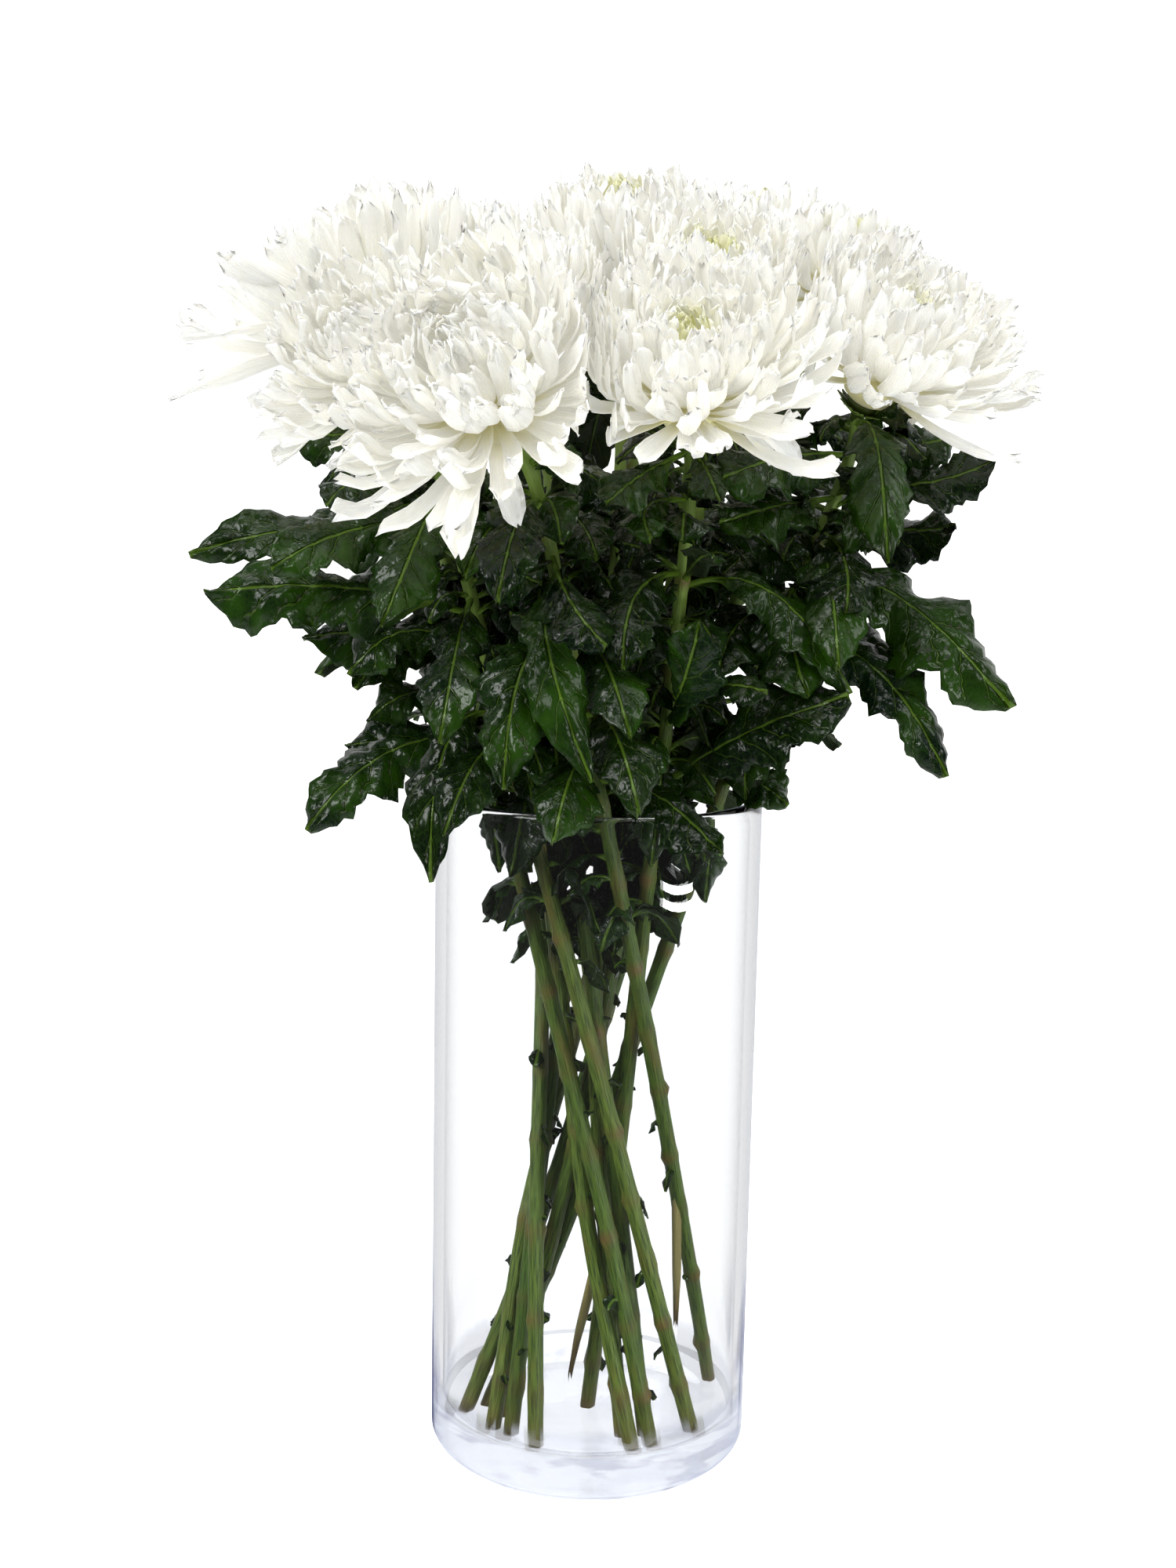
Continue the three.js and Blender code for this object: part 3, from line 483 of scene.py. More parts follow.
def petal_traits(head, share, rng):
    """What differs from petal to petal; share is 0 for the outermost petal and 1 for the heart."""
    count = len(share)
    messy = head["messy"]

    def varied(trait, usual=0.0):
        neat, more = UNEVEN[trait]
        return rng.normal(usual, neat + more * messy, count)

    outer = 1 - smooth(0.0, OUTER_SHARE, share)
    open_by = head["open"] / FULLY_OPEN
    lowest = math.cos(math.radians(LOWEST + head["spread"]))
    polar = np.degrees(np.arccos(lowest + (1 - lowest) * share**0.62))
    reach, half = (np.interp(polar, DOME[:, 0], DOME[:, k]) * head["radius"] for k in (1, 2))
    reach = reach * (1 - 0.40 * open_by * (1 - smooth(5, 60, polar)))
    reach = reach * (head["tall"] + (1 - head["tall"]) * outer)
    reach = reach * (1 + (head["long"] - 1) * outer) * (1 + varied("reach"))
    half = half * rng.uniform(0.84, 1.14, count)
    polar = polar + varied("polar")
    lean = (36 - 18 * open_by) * (1 - 0.7 * outer) + varied("lean")
    hook = varied("hook", 0.10) * (1 - 0.5 * open_by)

    # A few outer petals stray: they hang, are shorter and curl either way.
    stray = rng.uniform(0, 1, count) < (0.01 + 0.12 * messy) * outer
    polar = np.where(stray, rng.uniform(102, 132, count), polar)
    lean = np.where(stray, rng.normal(-20, 12, count), lean)
    reach = np.where(stray, reach * 0.78, reach)
    hook = np.where(stray, rng.normal(-0.04, 0.12, count), hook)
    return dict(
        polar=np.radians(polar), reach=reach, half=half, lean=np.radians(lean), hook=hook,
        roll=varied("roll"),
        sway=varied("sway"),
        cup=rng.uniform(0.35, 0.65, count),
        ruffle=rng.uniform(0.02, 0.06 + 0.10 * messy, count),
        phase=rng.uniform(0, 6.28, count),
        sag=head["sag"] * outer * rng.uniform(0.4, 1.3, count),
    )


def petal_grid(head, share, turn, rng):
    """Middle surfaces of a head's petals: share and turn say where each sits in the spiral."""
    base, axis, side, other = head_frame(head)
    radius = head["radius"]
    petal = petal_traits(head, share, rng)
    s = PETAL_ALONG[:, None]
    out = turned(turn, side, other)
    across = np.cross(axis, out)[:, None]

    # Each petal runs in the plane of the axis and its own way out, from the core to the dome.
    on_core = np.radians(114 - 104 * share**0.75)
    start = radius * np.stack([
        CORE_RADIUS * 0.8 * np.sin(on_core),
        CORE_HEIGHT * (0.5 + 0.42 * np.cos(on_core)),
    ], -1)
    end = petal["reach"][:, None] * np.stack([np.sin(petal["polar"]), np.cos(petal["polar"])], -1)
    end[:, 1] += DOME_MIDDLE * radius
    way = end - start
    length = np.linalg.norm(way, axis=-1)
    leave = np.arctan2(way[:, 0], way[:, 1]) + petal["lean"]
    bend = start + 0.62 * length[:, None] * np.stack([np.sin(leave), np.cos(leave)], -1)
    run, heading = curved(s, start[:, None], bend[:, None], end[:, None])
    angle = np.arctan2(heading[..., 0], heading[..., 1])
    hooked = (petal["hook"] * length)[:, None] * smooth(0.66, 1.0, PETAL_ALONG) ** 1.6
    run[..., 0] -= np.cos(angle) * hooked
    run[..., 1] += np.sin(angle) * hooked
    middle = base + run[..., :1] * out[:, None] + run[..., 1:] * axis
    middle = middle + (petal["sway"] * length)[:, None, None] * s**2 * across
    middle[..., 2] -= petal["sag"][:, None] * PETAL_ALONG**2

    # Across each place along the petal: its width, cupped, grooved and ruffled.
    sin, cos = np.sin(angle)[..., None], np.cos(angle)[..., None]
    forward = sin * out[:, None] + cos * axis
    normal = sin * axis - cos * out[:, None]
    roll = petal["roll"][:, None, None] * s
    edge = across * np.cos(roll) + normal * np.sin(roll)
    lift = normal * np.cos(roll) - across * np.sin(roll)
    u = PETAL_ACROSS
    width = (petal["half"][:, None] * PETAL_WIDTHS)[..., None]
    long = length[:, None, None]
    cup = petal["cup"][:, None, None] * width * u**2 * (0.7 + 0.5 * np.sin(np.pi * s))
    groove = -PETAL_GROOVE * width * np.cos(u * 3 * np.pi) * smooth(0.1, 0.4, s)
    ripple = np.sin(2.6 * u + petal["phase"][:, None, None] + 5 * s) * np.abs(u)
    ruffle = petal["ruffle"][:, None, None] * long * smooth(0.5, 1.0, s) * ripple
    notch = np.where(s > 0.95, -PETAL_NOTCH, 0.0) * long * np.cos(u * np.pi * 2)
    return (
        middle[:, :, None]
        + edge[:, :, None] * (width * u)[..., None]
        + lift[:, :, None] * (cup + groove + ruffle)[..., None]
        + forward[:, :, None] * notch[..., None]
    )


def flower(name):
    head = HEADS[name]
    rng = np.random.default_rng(head["seed"])
    parts = Parts()
    count = head["count"]
    share = (np.arange(count) + 0.5) / count
    turn = np.arange(count) * SPIRAL + rng.normal(0, 0.10, count)
    grid = petal_grid(head, share, turn, rng)
    roots = grid[:, :2].copy()
    grid = keep_own_space(name, grid)
    grid[:, :2] = roots
    shape = grid.shape[:3]
    half = np.broadcast_to(PETAL_THICK, shape).copy()
    half[:, 0] = PETAL_ROOT_THICK
    s = PETAL_ALONG[:, None]
    place = share[:, None, None]
    flat = layers(shape, PETAL_ACROSS * 0.5 + 0.5, s)
    marks = layers(shape, place * head["green"], rng.uniform(0, 1, count)[:, None, None])
    tone = layers(shape, place, 0, s, 1)
    add_blades(parts, grid, half, flat, marks, tone, ONLY)

    base, axis, side, other = head_frame(head)
    size = CORE_SIZES * CORE_RADIUS * head["radius"]
    size[0] = CUP_RADIUS * 0.95
    level = CORE_LEVELS * CORE_HEIGHT * head["radius"]
    ring = turned(circle(CORE_SIDES), side, other)
    rings = base + level[:, None, None] * axis + size[:, None, None] * ring
    add_tube(parts, rings, 0.3, (0.9, 0.0, 0.0, 1.0), ONLY)
    return parts


def stem_points(name, t):
    """Points of a smooth curve through a stem's seven points: t counts those points from 0."""
    points = np.array(STEMS[name], float)
    points = np.concatenate([[2 * points[0] - points[1]], points, [2 * points[-1] - points[-2]]])
    i = np.minimum(t.astype(int), len(points) - 4)
    f = (t - i)[:, None]
    return (
        points[i] * (-0.5 * f**3 + f**2 - 0.5 * f)
        + points[i + 1] * (1.5 * f**3 - 2.5 * f**2 + 1)
        + points[i + 2] * (-1.5 * f**3 + 2 * f**2 + 0.5 * f)
        + points[i + 3] * (0.5 * f**3 - 0.5 * f**2)
    )


def joint_at(name, height):
    """The point of a stem's curve at a height."""
    low, high = 0.0, LEAVES_STOP
    for _ in range(24):
        middle = (low + high) / 2
        if stem_points(name, np.array([middle]))[0, 2] < height:
            low = middle
        else:
            high = middle
    return stem_points(name, np.array([low]))[0]


def stem_radius(z):
    thin = np.clip((z - STEM_THINS[0]) / (STEM_THINS[1] - STEM_THINS[0]), 0, 1)
    return STEM_RADIUS_LOW + (STEM_RADIUS_HIGH - STEM_RADIUS_LOW) * thin


def add_stem(parts, name, rng):
    """The round, slightly ribbed stem, swollen and scarred at each joint."""
    top = len(STEMS[name]) - 1
    t = np.linspace(0, top, STEM_RINGS)
    t[-1] = STEM_STOPS
    centre = stem_points(name, t)
    ahead = stem_points(name, np.minimum(t + 0.05, top))
    along = unit(ahead - stem_points(name, np.maximum(t - 0.05, 0.0)))
    along[0] = (0, 0, 1)
    length = np.concatenate([[0], np.cumsum(np.linalg.norm(np.diff(centre, axis=0), axis=1))])
    side = unit(np.cross((0, 1, 0), along))
    other = np.cross(along, side)
    a = circle(STEM_SIDES)
    ribs = 1 + 0.065 * np.cos(5 * a + 0.004 * length[:, None])
    radius = stem_radius(centre[:, 2])[:, None] * ribs
    scar = np.zeros((STEM_RINGS, STEM_SIDES))
    where = JOINT_FIRST
    turn = rng.uniform(0, 6.28)
    while where < length[-1] - JOINTS_STOP:
        near = np.exp(-(((length - where) / 2.6) ** 2))[:, None]
        facing = np.exp(3.0 * (np.cos(a - turn) - 1))[None]
        radius = radius + JOINT_SWELLS * near + JOINT_SCAR * near * facing
        scar = np.maximum(scar, near * (0.35 + 0.65 * facing))
        where += rng.uniform(*JOINT_STEP)
        turn += JOINT_TURN
    rings = centre[:, None] + radius[..., None] * turned(a, side[:, None], other[:, None])
    # Paler toward the top: partly the stem's own lighter green, partly painted light against the shade
    # under its head.
    paler = smooth(*STEM_PALER_AND_LIT, centre[:, 2])[:, None]
    scar = np.clip(scar + 0.9 * np.exp(-length / 9)[:, None], 0, 1)
    tone = layers(scar.shape, rng.uniform(0, 1), paler, scar, 1)
    add_tube(parts, rings, tube_flat(a, length / FLAT_MM), tone, STALK)


def add_cup(parts, name):
    """The green cup under a head, with rows of small bracts."""
    base, axis, side, other = head_frame(HEADS[name])
    top = base - axis * GAP
    depth = np.array([-1 - 3 / CUP_DEPTH, -1, -0.75, -0.5, -0.2, 0]) * CUP_DEPTH
    size = np.array([STEM_RADIUS_HIGH * 0.96, 3.0, 4.4, 6.2, 7.3, 7.4])
    ring = turned(circle(CUP_SIDES), side, other)
    rings = top + depth[:, None, None] * axis + size[:, None, None] * ring
    add_tube(parts, rings, 0.1, (0.5, 0.0, 0.1, 1.0), STALK)

    turn = np.arange(BRACTS) * SPIRAL
    rank = np.arange(BRACTS)[:, None] / BRACTS
    out = turned(turn, side, other)
    across = np.cross(axis, out)[:, None, None]
    t = np.linspace(0, 1, 6)
    reach = 3.2 + 0.6 * rank + (6.5 + 2.5 * rank) * t
    depth = -CUP_DEPTH + 1.0 + 2.2 * rank + (4.2 - 1.2 * rank) * t**1.3
    middle = top + reach[..., None] * out[:, None] + np.minimum(depth, -0.5)[..., None] * axis
    width = 2.0 * np.array([0.7, 1.0, 1.0, 0.85, 0.55, 0.12])
    grid = middle[:, :, None] + (width[:, None] * np.linspace(-1, 1, 3))[..., None] * across
    shape = grid.shape[:3]
    half = np.full(shape, 0.22)
    flat = np.full(shape + (2,), 0.1)
    tone = np.full(shape + (4,), (0.3, 0.0, 0.05, 1.0))
    add_blades(parts, grid, half, flat, flat, tone, STALK)


def teeth(t, count, phase):
    """Forward-pointing teeth, 0 to 1: a slow rise, then a quick fall toward the tip."""
    x = np.mod(t * count + phase, 1)
    return np.where(x < 0.75, x / 0.75, (1 - x) / 0.25)


def leaf_edges(t, keys, tooth_count, rng):
    """How far the left and right edges stand from the midrib: lobed, toothed, and not quite alike."""
    outline = np.interp(t, keys[:, 0], keys[:, 1])
    toothed = smooth(0.24, 0.34, t)
    edges = []
    for _ in range(2):
        uneven = 1 + 0.14 * rng.uniform(-1, 1) * np.sin(9 * t + rng.uniform(0, 6))
        cut = teeth(t, tooth_count + rng.uniform(-1, 1), rng.uniform(0, 1))
        edge = 1.12 * outline * uneven * (1 - TOOTH_DEPTH * toothed * (1 - cut))
        edges.append((edge + 0.03 * toothed * cut)[:, None])
    return edges


def add_leaf(parts, name, row, rng, rows, u):
    """Adds a leaf: row is like one of LEAVES, rows counts points along it and u lists places across."""
    height, *places, half, facing = row
    bend, end = np.array(places).reshape(2, 3)
    t = np.linspace(0, 1, rows) ** 0.9
    s = t[:, None]
    curve, heading = curved(s, joint_at(name, height), bend, end)
    along = unit(heading)
    face = math.radians(facing)
    toward = np.array([math.cos(face) * 0.8, math.sin(face) * 0.8, 0.6])
    side = unit(np.cross(toward, along))
    normal = np.cross(along, side)
    length = np.linalg.norm(np.diff(curve, axis=0), axis=1).sum()

    large = half >= LEAF_LARGE_FROM
    keys = LEAF_ROWS_LARGE if large else LEAF_ROWS_SMALL
    left, right = leaf_edges(t, keys, TEETH_LARGE if large else TEETH_SMALL, rng)
    u = np.broadcast_to(u, (rows, len(u)))
    outward = np.abs(u)
    on_right = u > 0
    width = np.where(u < 0, left, right)
    x = u * width * half
    swept = outward * np.interp(t, keys[:, 0], keys[:, 2])[:, None] * half * 2

    # Between its side veins the blade stands up in puckers; its edges wave and its halves fold down.
    rise = (s - VEIN_RISE * outward - VEIN_FIRST) / VEIN_STEP
    cell = np.clip(np.floor(rise).astype(int) + VEIN_CELLS_LOW, 0, VEIN_CELLS - 1)
    amount = rng.uniform(0.25, 1.35, (VEIN_CELLS, 2))[cell, on_right.astype(int)]
    from_vein = 1 - np.exp(-((np.abs(rise - np.round(rise)) / 0.2) ** 2))
    from_edges = np.abs(np.sin(np.pi * np.clip(outward * 1.15, 0, 1))) ** 0.6
    puckers = amount * from_vein * from_edges
    waves = np.sin(s * rng.uniform(11, 17) + rng.uniform(0, 6) + 1.4 * on_right) * outward**2
    fold = rng.uniform(0.12, 0.55)
    blade = smooth(0.22, 0.38, s)
    lift = blade * half * (LEAF_PUCKERS * puckers + LEAF_WAVES * waves) - fold * half * width * outward
    lift = lift + LEAF_UNEVEN * blade * rng.normal(0, 0.3, x.shape)
    lift[:, u.shape[1] // 2] -= MIDRIB_SUNK * blade[:, 0]
    grid = (
        curve[:, None]
        + side[:, None] * x[..., None]
        + along[:, None] * swept[..., None]
        + normal[:, None] * lift[..., None]
    )
    stalk = 1 - smooth(0.12, 0.30, s)
    thick = LEAF_THICK + 0.70 * stalk + 0.5 * (1 - s) * np.exp(-((x / 1.1) ** 2))
    flat = layers(x.shape, x / FLAT_MM + 0.5, (s * length + swept) / FLAT_MM)
    marks = layers(x.shape, outward, rise)
    # The last value is a second chance; it also sets how far the whole leaf is darkened toward near black
    # as painted shade.
    tone = layers(x.shape, rng.uniform(0, 1), 0, stalk, rng.uniform(0, 1))
    add_blades(parts, grid[None], thick[None], flat[None], marks[None], tone[None], LEAF)


def step(turn, out, up):
    """A step outward in the direction of turn, and upward."""
    return np.array([math.cos(turn) * out, math.sin(turn) * out, up])


def add_shoots(parts, name, row, rng):
    """Two or three young leaves that stand in the joint of a grown one."""
    height, bx, by = row[:3]
    if height < YOUNG_FROM:
        return
    joint = joint_at(name, height)
    away = math.atan2(by - joint[1], bx - joint[0])
    for _ in range(rng.integers(2, 4)):
        turn = away + rng.choice((-1, 1)) * rng.uniform(0.5, 2.4)
        long = rng.uniform(20, 34)
        bend = joint + step(turn, long * 0.55, long * rng.uniform(0.25, 0.6))
        tip = joint + step(turn, long * rng.uniform(0.75, 1.05), long * rng.uniform(-0.35, 0.6))
        half = long * rng.uniform(0.24, 0.34)
        facing = math.degrees(turn) + rng.uniform(-60, 60)
        add_leaf(parts, name, (height, *bend, *tip, half, facing), rng, YOUNG_ALONG, LEAF_ACROSS[::2])


def add_husk(parts, name, rng):
    """A dry strip that hangs beside its stem, frayed at the lower end."""
    height, end = HUSKS[name]
    start = joint_at(name, height)
    t = np.linspace(0, 1, HUSK_RINGS)[:, None]
    bulge = np.array([0, -2.2, 0]) * np.sin(np.pi * t)
    centre = start + (np.array(end, float) - start) * t + bulge
    a = circle(HUSK_SIDES)
    size = np.interp(t, [0, 0.15, 0.7, 1], [1.0, 2.1, 1.9, 0.9]) * (1 + 0.25 * np.cos(3 * a))
    fray = smooth(0.75, 1.0, t) * rng.uniform(0, 9, len(a))
    x, y, z = centre.T[..., None]
    rings = layers(fray.shape, x + size * np.cos(a), y + size * np.sin(a), z - fray)
    tone = layers(fray.shape, 0, 0, smooth(0.7, 1.0, t), 0)
    add_tube(parts, rings, tube_flat(a, t[:, 0] * 0.6), tone, STALK)


def add_scraps(parts, name, rng):
    """Torn leaf ends along the lower stem, and small leaves that hang just inside the vase's mouth."""
    height = rng.uniform(34, 60)
    while height < SCRAPS_UP_TO:
        joint = joint_at(name, height)
        inward = math.atan2(-joint[1], -joint[0])
        above = height > ABOVE_RIM
        crowded = smooth(*SCRAPS_CROWD, height)
        for _ in range(1 + int(crowded * 2.4)):
            turn = inward + rng.uniform(-2.0, 2.0) * (1.5 if above else 1.0)
            long = rng.uniform(6, 13) + crowded * rng.uniform(8, 28)
            bend = joint + step(turn, long * 0.5, long * 0.35)
            tip = joint + step(turn, long * rng.uniform(0.6, 0.9), long * rng.uniform(-0.9, 0.3))
            if np.hypot(tip[0], tip[1]) > SCRAPS_WITHIN and not above:
                continue
            half = long * rng.uniform(0.22, 0.36)
            facing = math.degrees(turn) + rng.uniform(-70, 70)
            add_leaf(parts, name, (height, *bend, *tip, half, facing), rng, SCRAP_ALONG, LEAF_ACROSS[::3])
        height += rng.uniform(20, 40) * (1 - 0.55 * crowded)


def leafy_stem(name):
    rng = np.random.default_rng(ord(name) * STEM_SEED)
    parts = Parts()
    add_stem(parts, name, rng)
    add_cup(parts, name)
    if name in HUSKS:
        add_husk(parts, name, rng)
    add_scraps(parts, name, rng)
    for row in LEAVES[name]:
        add_leaf(parts, name, row, rng, LEAF_ALONG, LEAF_ACROSS)
        add_shoots(parts, name, row, rng)
    return parts


def glass_profile():
    """Radius and height round the glass: from below its middle up the outside and down the inside."""
    profile = [(0, 0), (40, 0), (58, 0)]

    def corner(radius, height, size, degrees):
        for angle in degrees:
            a = math.radians(angle)
            profile.append((radius + size * math.cos(a), height + size * math.sin(a)))

    inner = GLASS_RADIUS - GLASS_WALL
    lip = GLASS_WALL / 2
    corner(GLASS_RADIUS - GLASS_FOOT_ROUND, GLASS_FOOT_ROUND, GLASS_FOOT_ROUND, range(-90, 1, 10))
    for z in (14, 22, *GLASS_LEVELS):
        profile.append((GLASS_RADIUS, z))
    corner(GLASS_RADIUS - lip, GLASS_HEIGHT - lip, lip, range(0, 181, 15))
    for z in (*reversed(GLASS_LEVELS), 28):
        profile.append((inner, z))
    inside = inner - GLASS_FLOOR_ROUND
    corner(inside, GLASS_FLOOR + GLASS_FLOOR_ROUND, GLASS_FLOOR_ROUND, range(0, -91, -15))
    profile += [(inner - 14, GLASS_FLOOR), (30, GLASS_FLOOR), (0, GLASS_FLOOR)]
    return np.array(profile, float)


def glass_cylinder():
    radius, height = glass_profile().T[..., None]
    a = circle(GLASS_SIDES)
    rings = layers((len(radius), GLASS_SIDES), radius * np.cos(a), radius * np.sin(a), height)
    parts = Parts()
    add_tube(parts, rings, 0.0, 1.0, ONLY, closed_ends=False)
    return parts


# Colours as they are displayed, each red, green and blue from 0 to 255.
COLOURS = dict(
    glass=(252, 253, 254), glass_edge=(228, 232, 243), glass_streak=(100, 110, 156),
    glass_foot=(250, 251, 254), glass_shade=(250, 251, 252),
    petal_white=(250, 249, 243), petal_cream=(247, 245, 232), petal_root=(222, 216, 158),
    petal_heart=(222, 222, 142), petal_stain=(190, 164, 98),
    # Of the leaf colours on the next line, the paler yellow-green is painted light shining through a leaf,
    # and the near-black is painted shade.
    leaf_blue=(6, 26, 14), leaf_green=(26, 52, 4), leaf_light=(38, 70, 8), leaf_black=(4, 12, 6),
    leaf_net=(44, 74, 14), leaf_vein=(84, 116, 34), leaf_midrib=(104, 136, 44), leaf_spot=(62, 56, 26),
    back=(46, 62, 34), back_net=(34, 48, 22), back_vein=(72, 88, 44),
    stem_green=(80, 112, 36), stem_yellow=(116, 138, 54), stem_groove=(48, 72, 20),
    # The pale stem colour on the next line is partly the upper stalk's own green and partly painted light
    # against the shade under the heads.
    stem_brown=(116, 100, 46), stem_pale=(150, 182, 86), stem_scar=(120, 92, 50),
    dry=(160, 150, 96),
    table=(250, 250, 250),
)
WHITE = (1.0, 1.0, 1.0, 1.0)

# Heights in the glass, in metres: where its streaks begin and are full, and where its clear foot does.
TINT_FROM = 0.100
TINT_FULL = 0.045
FOOT_TOP = 0.034
FOOT_FULL = 0.026

# Lamps: place, the point each faces, size, all in metres, and power in watts.
LAMPS = {
    "soft_left": ((-1.2, -1.0, 1.3), (0, 0, 0.35), (0.9, 0.9), 17),
    "soft_top": ((0.1, -0.5, 1.8), (0, 0, 0.4), (1.1, 0.8), 12),
    "soft_right": ((1.3, -0.7, 1.0), (0, 0, 0.4), (0.5, 1.0), 5),
    "bar_0": ((0.84, -0.58, 0.110), (0.03, -0.06, 0.130), (0.4, 0.008), 0.5),
    "bar_1": ((0.84, -0.58, 0.066), (0.03, -0.06, 0.096), (0.4, 0.008), 0.5),
    "bar_2": ((0.84, -0.58, 0.050), (0.03, -0.06, 0.080), (0.4, 0.008), 0.5),
}
TABLE_RADIUS = 0.62
TABLE_HEIGHT = -0.0002
TABLE_SIDES = 64
TABLE_GLOW = 0.9

# Strength of the white room as it is seen, and the least it has on surfaces and inside the glass.
ROOM_SEEN = 1.3
ROOM_ON_SURFACES = 0.50
ROOM_IN_GLASS = 0.15

CAMERA_PLACE = (-0.005, -0.850, 0.436)
CAMERA_TILT = math.radians(81.1)
CAMERA_ROLL = math.radians(1.1)
CAMERA_LENS = 44.68
SENSOR_WIDTH = 36.0
NEAREST = 0.02
FARTHEST = 50.0
GAMMA = 0.92


def paint(name):
    """A colour of the list, as a shader takes it."""
    shares = [value / 255 for value in COLOURS[name]]
    return (*(c / 12.92 if c <= 0.04 else ((c + 0.055) / 1.055) ** 2.4 for c in shares), 1.0)


class Nodes:
    """The node tree of a material or a world, written as short calls that return output sockets."""

    def __init__(self, owner):
        self.owner = owner
        owner.use_nodes = True
        self.tree = owner.node_tree
        self.tree.nodes.clear()

    def node(self, kind, inputs=(), **settings):
        node = self.tree.nodes.new("ShaderNode" + kind)
        for key, value in settings.items():
            setattr(node, key, value)
        for key, value in dict(inputs).items():
            if isinstance(value, bpy.types.NodeSocket):
                self.tree.links.new(value, node.inputs[key])
            else:
                node.inputs[key].default_value = value
        return node

    def math(self, operation, a, b=0.0):
        return self.node("Math", {0: a, 1: b}, operation=operation).outputs[0]

    def plus(self, a, b):
        return self.math("ADD", a, b)

    def minus(self, a, b):
        return self.math("SUBTRACT", a, b)

    def times(self, a, b):
        return self.math("MULTIPLY", a, b)

    def larger(self, a, b):
        return self.math("MAXIMUM", a, b)

    def span(self, value, low, high, to_low=0.0, to_high=1.0):
        """Maps low..high smoothly to to_low..to_high, and holds the ends."""
        sockets = {"Value": value, "From Min": low, "From Max": high, "To Min": to_low, "To Max": to_high}
        return self.node("MapRange", sockets, interpolation_type="SMOOTHSTEP").outputs[0]

    def mix(self, share, a, b):
        """A colour between a and b, each a name from COLOURS or an output socket."""
        a, b = (paint(colour) if isinstance(colour, str) else colour for colour in (a, b))
        return self.node("Mix", {0: share, 6: a, 7: b}, data_type="RGBA").outputs[2]

    def split(self, vector):
        return self.node("SeparateXYZ", {0: vector}).outputs

    def map(self, name):
        """A UV map, then its two values."""
        uv = self.node("UVMap", uv_map=name).outputs[0]
        x, y, _ = self.split(uv)
        return uv, x, y

    def tone(self):
        """The painted values of a piece: red, green, blue and alpha."""
        read = self.node("Attribute", attribute_name="tone")
        split = self.node("SeparateColor", {0: read.outputs["Color"]})
        return (*split.outputs[:3], read.outputs["Alpha"])

    def stretched(self, vector, x, y, z=1.0):
        return self.node("VectorMath", {0: vector, 1: (x, y, z)}, operation="MULTIPLY").outputs[0]

    def noise(self, vector, scale, detail=2.0):
        sockets = {"Vector": vector, "Scale": scale, "Detail": detail}
        return self.node("TexNoise", sockets).outputs[0]

    def bump(self, height, distance, strength=1.0):
        sockets = {"Height": height, "Distance": distance, "Strength": strength}
        return self.node("Bump", sockets).outputs[0]

    def plastic(self, sockets):
        return self.node("BsdfPrincipled", sockets).outputs[0]

    def clear(self, colour):
        return self.node("BsdfTransparent", {"Color": colour}).outputs[0]

    def blend(self, share, a, b):
        return self.node("MixShader", {0: share, 1: a, 2: b}).outputs[0]

    def surface(self, shader, kind="OutputMaterial"):
        self.tree.links.new(shader, self.node(kind).inputs["Surface"])
        return self.owner


def clear_glass():
    """Clear glass, cooler at its edges and streaked low down, that lets lamp light through."""
    n = Nodes(bpy.data.materials.new("clear_glass"))
    glass = n.plastic({
        "Base Color": paint("glass"), "Roughness": 0.0, "IOR": 1.5, "Transmission Weight": 1.0,
    })
    facing = n.node("LayerWeight", {"Blend": 0.5}).outputs["Facing"]
    place = n.node("TexCoord").outputs["Object"]
    height = n.split(place)[2]
    streak = n.span(n.noise(n.stretched(place, 34.0, 34.0, 9.0), 1.0, 3.0), 0.52, 0.62)
    low = n.times(n.span(height, TINT_FROM, TINT_FULL), streak)
    cool = n.mix(low, "glass_edge", "glass_streak")
    foot_faces = n.span(facing, 0.75, 0.45)
    cool = n.mix(n.span(height, FOOT_TOP, FOOT_FULL, 0.0, foot_faces), cool, "glass_foot")
    amount = n.times(n.span(facing, 0.55, 0.95), n.plus(0.25, n.times(low, 0.55)))
    amount = n.larger(amount, n.span(height, FOOT_TOP, FOOT_FULL, 0.0, 0.45))
    tinted = n.blend(amount, glass, n.clear(cool))
    is_shadow = n.node("LightPath").outputs["Is Shadow Ray"]
    return n.surface(n.blend(is_shadow, tinted, n.clear(paint("glass_shade"))))


def petals():
    """White petals, cream and yellow-green toward the base, finely grooved along their length, and glowing
    faintly in their own colour: painted light that lifts the shade between them.
    """
    n = Nodes(bpy.data.materials.new("white_petal"))
    uv, across, _ = n.map("flat")
    _, share, chance = n.map("marks")
    along = n.tone()[2]
    root = n.times(n.span(along, 0.42, 0.0), n.span(share, 0.0, 0.8, 0.75, 1.0))
    heart = n.span(share, 0.84, 1.0)
    colour = n.mix(n.times(chance, 0.5), "petal_white", "petal_cream")
    colour = n.mix(root, colour, "petal_root")
    colour = n.mix(n.times(heart, 0.75), colour, "petal_heart")
    stain = n.noise(n.stretched(uv, 3.0, 5.0), 1.6, 4.0)
    stain = n.times(n.span(stain, 0.60, 0.76), n.span(n.plus(root, chance), 0.9, 1.5))
    colour = n.mix(n.times(stain, 0.55), colour, "petal_stain")
    groove = n.math("SINE", n.times(across, 82.0))
    streak = n.noise(n.stretched(uv, 46.0, 3.0), 1.0)
    height = n.plus(n.times(groove, 0.35), streak)
    # The emission makes the petals glow faintly in their own colour: painted light that lifts the shade in
    # the gaps between petals.
    return n.surface(n.plastic({
        "Base Color": colour, "Roughness": 0.55, "Specular IOR Level": 0.35, "Subsurface Weight": 0.7,
        "Subsurface Radius": (1.0, 0.9, 0.7), "Subsurface Scale": 0.003, "Sheen Weight": 0.08,
        "Normal": n.bump(height, 0.00035, 0.6), "Emission Color": colour, "Emission Strength": 0.13,
    }))


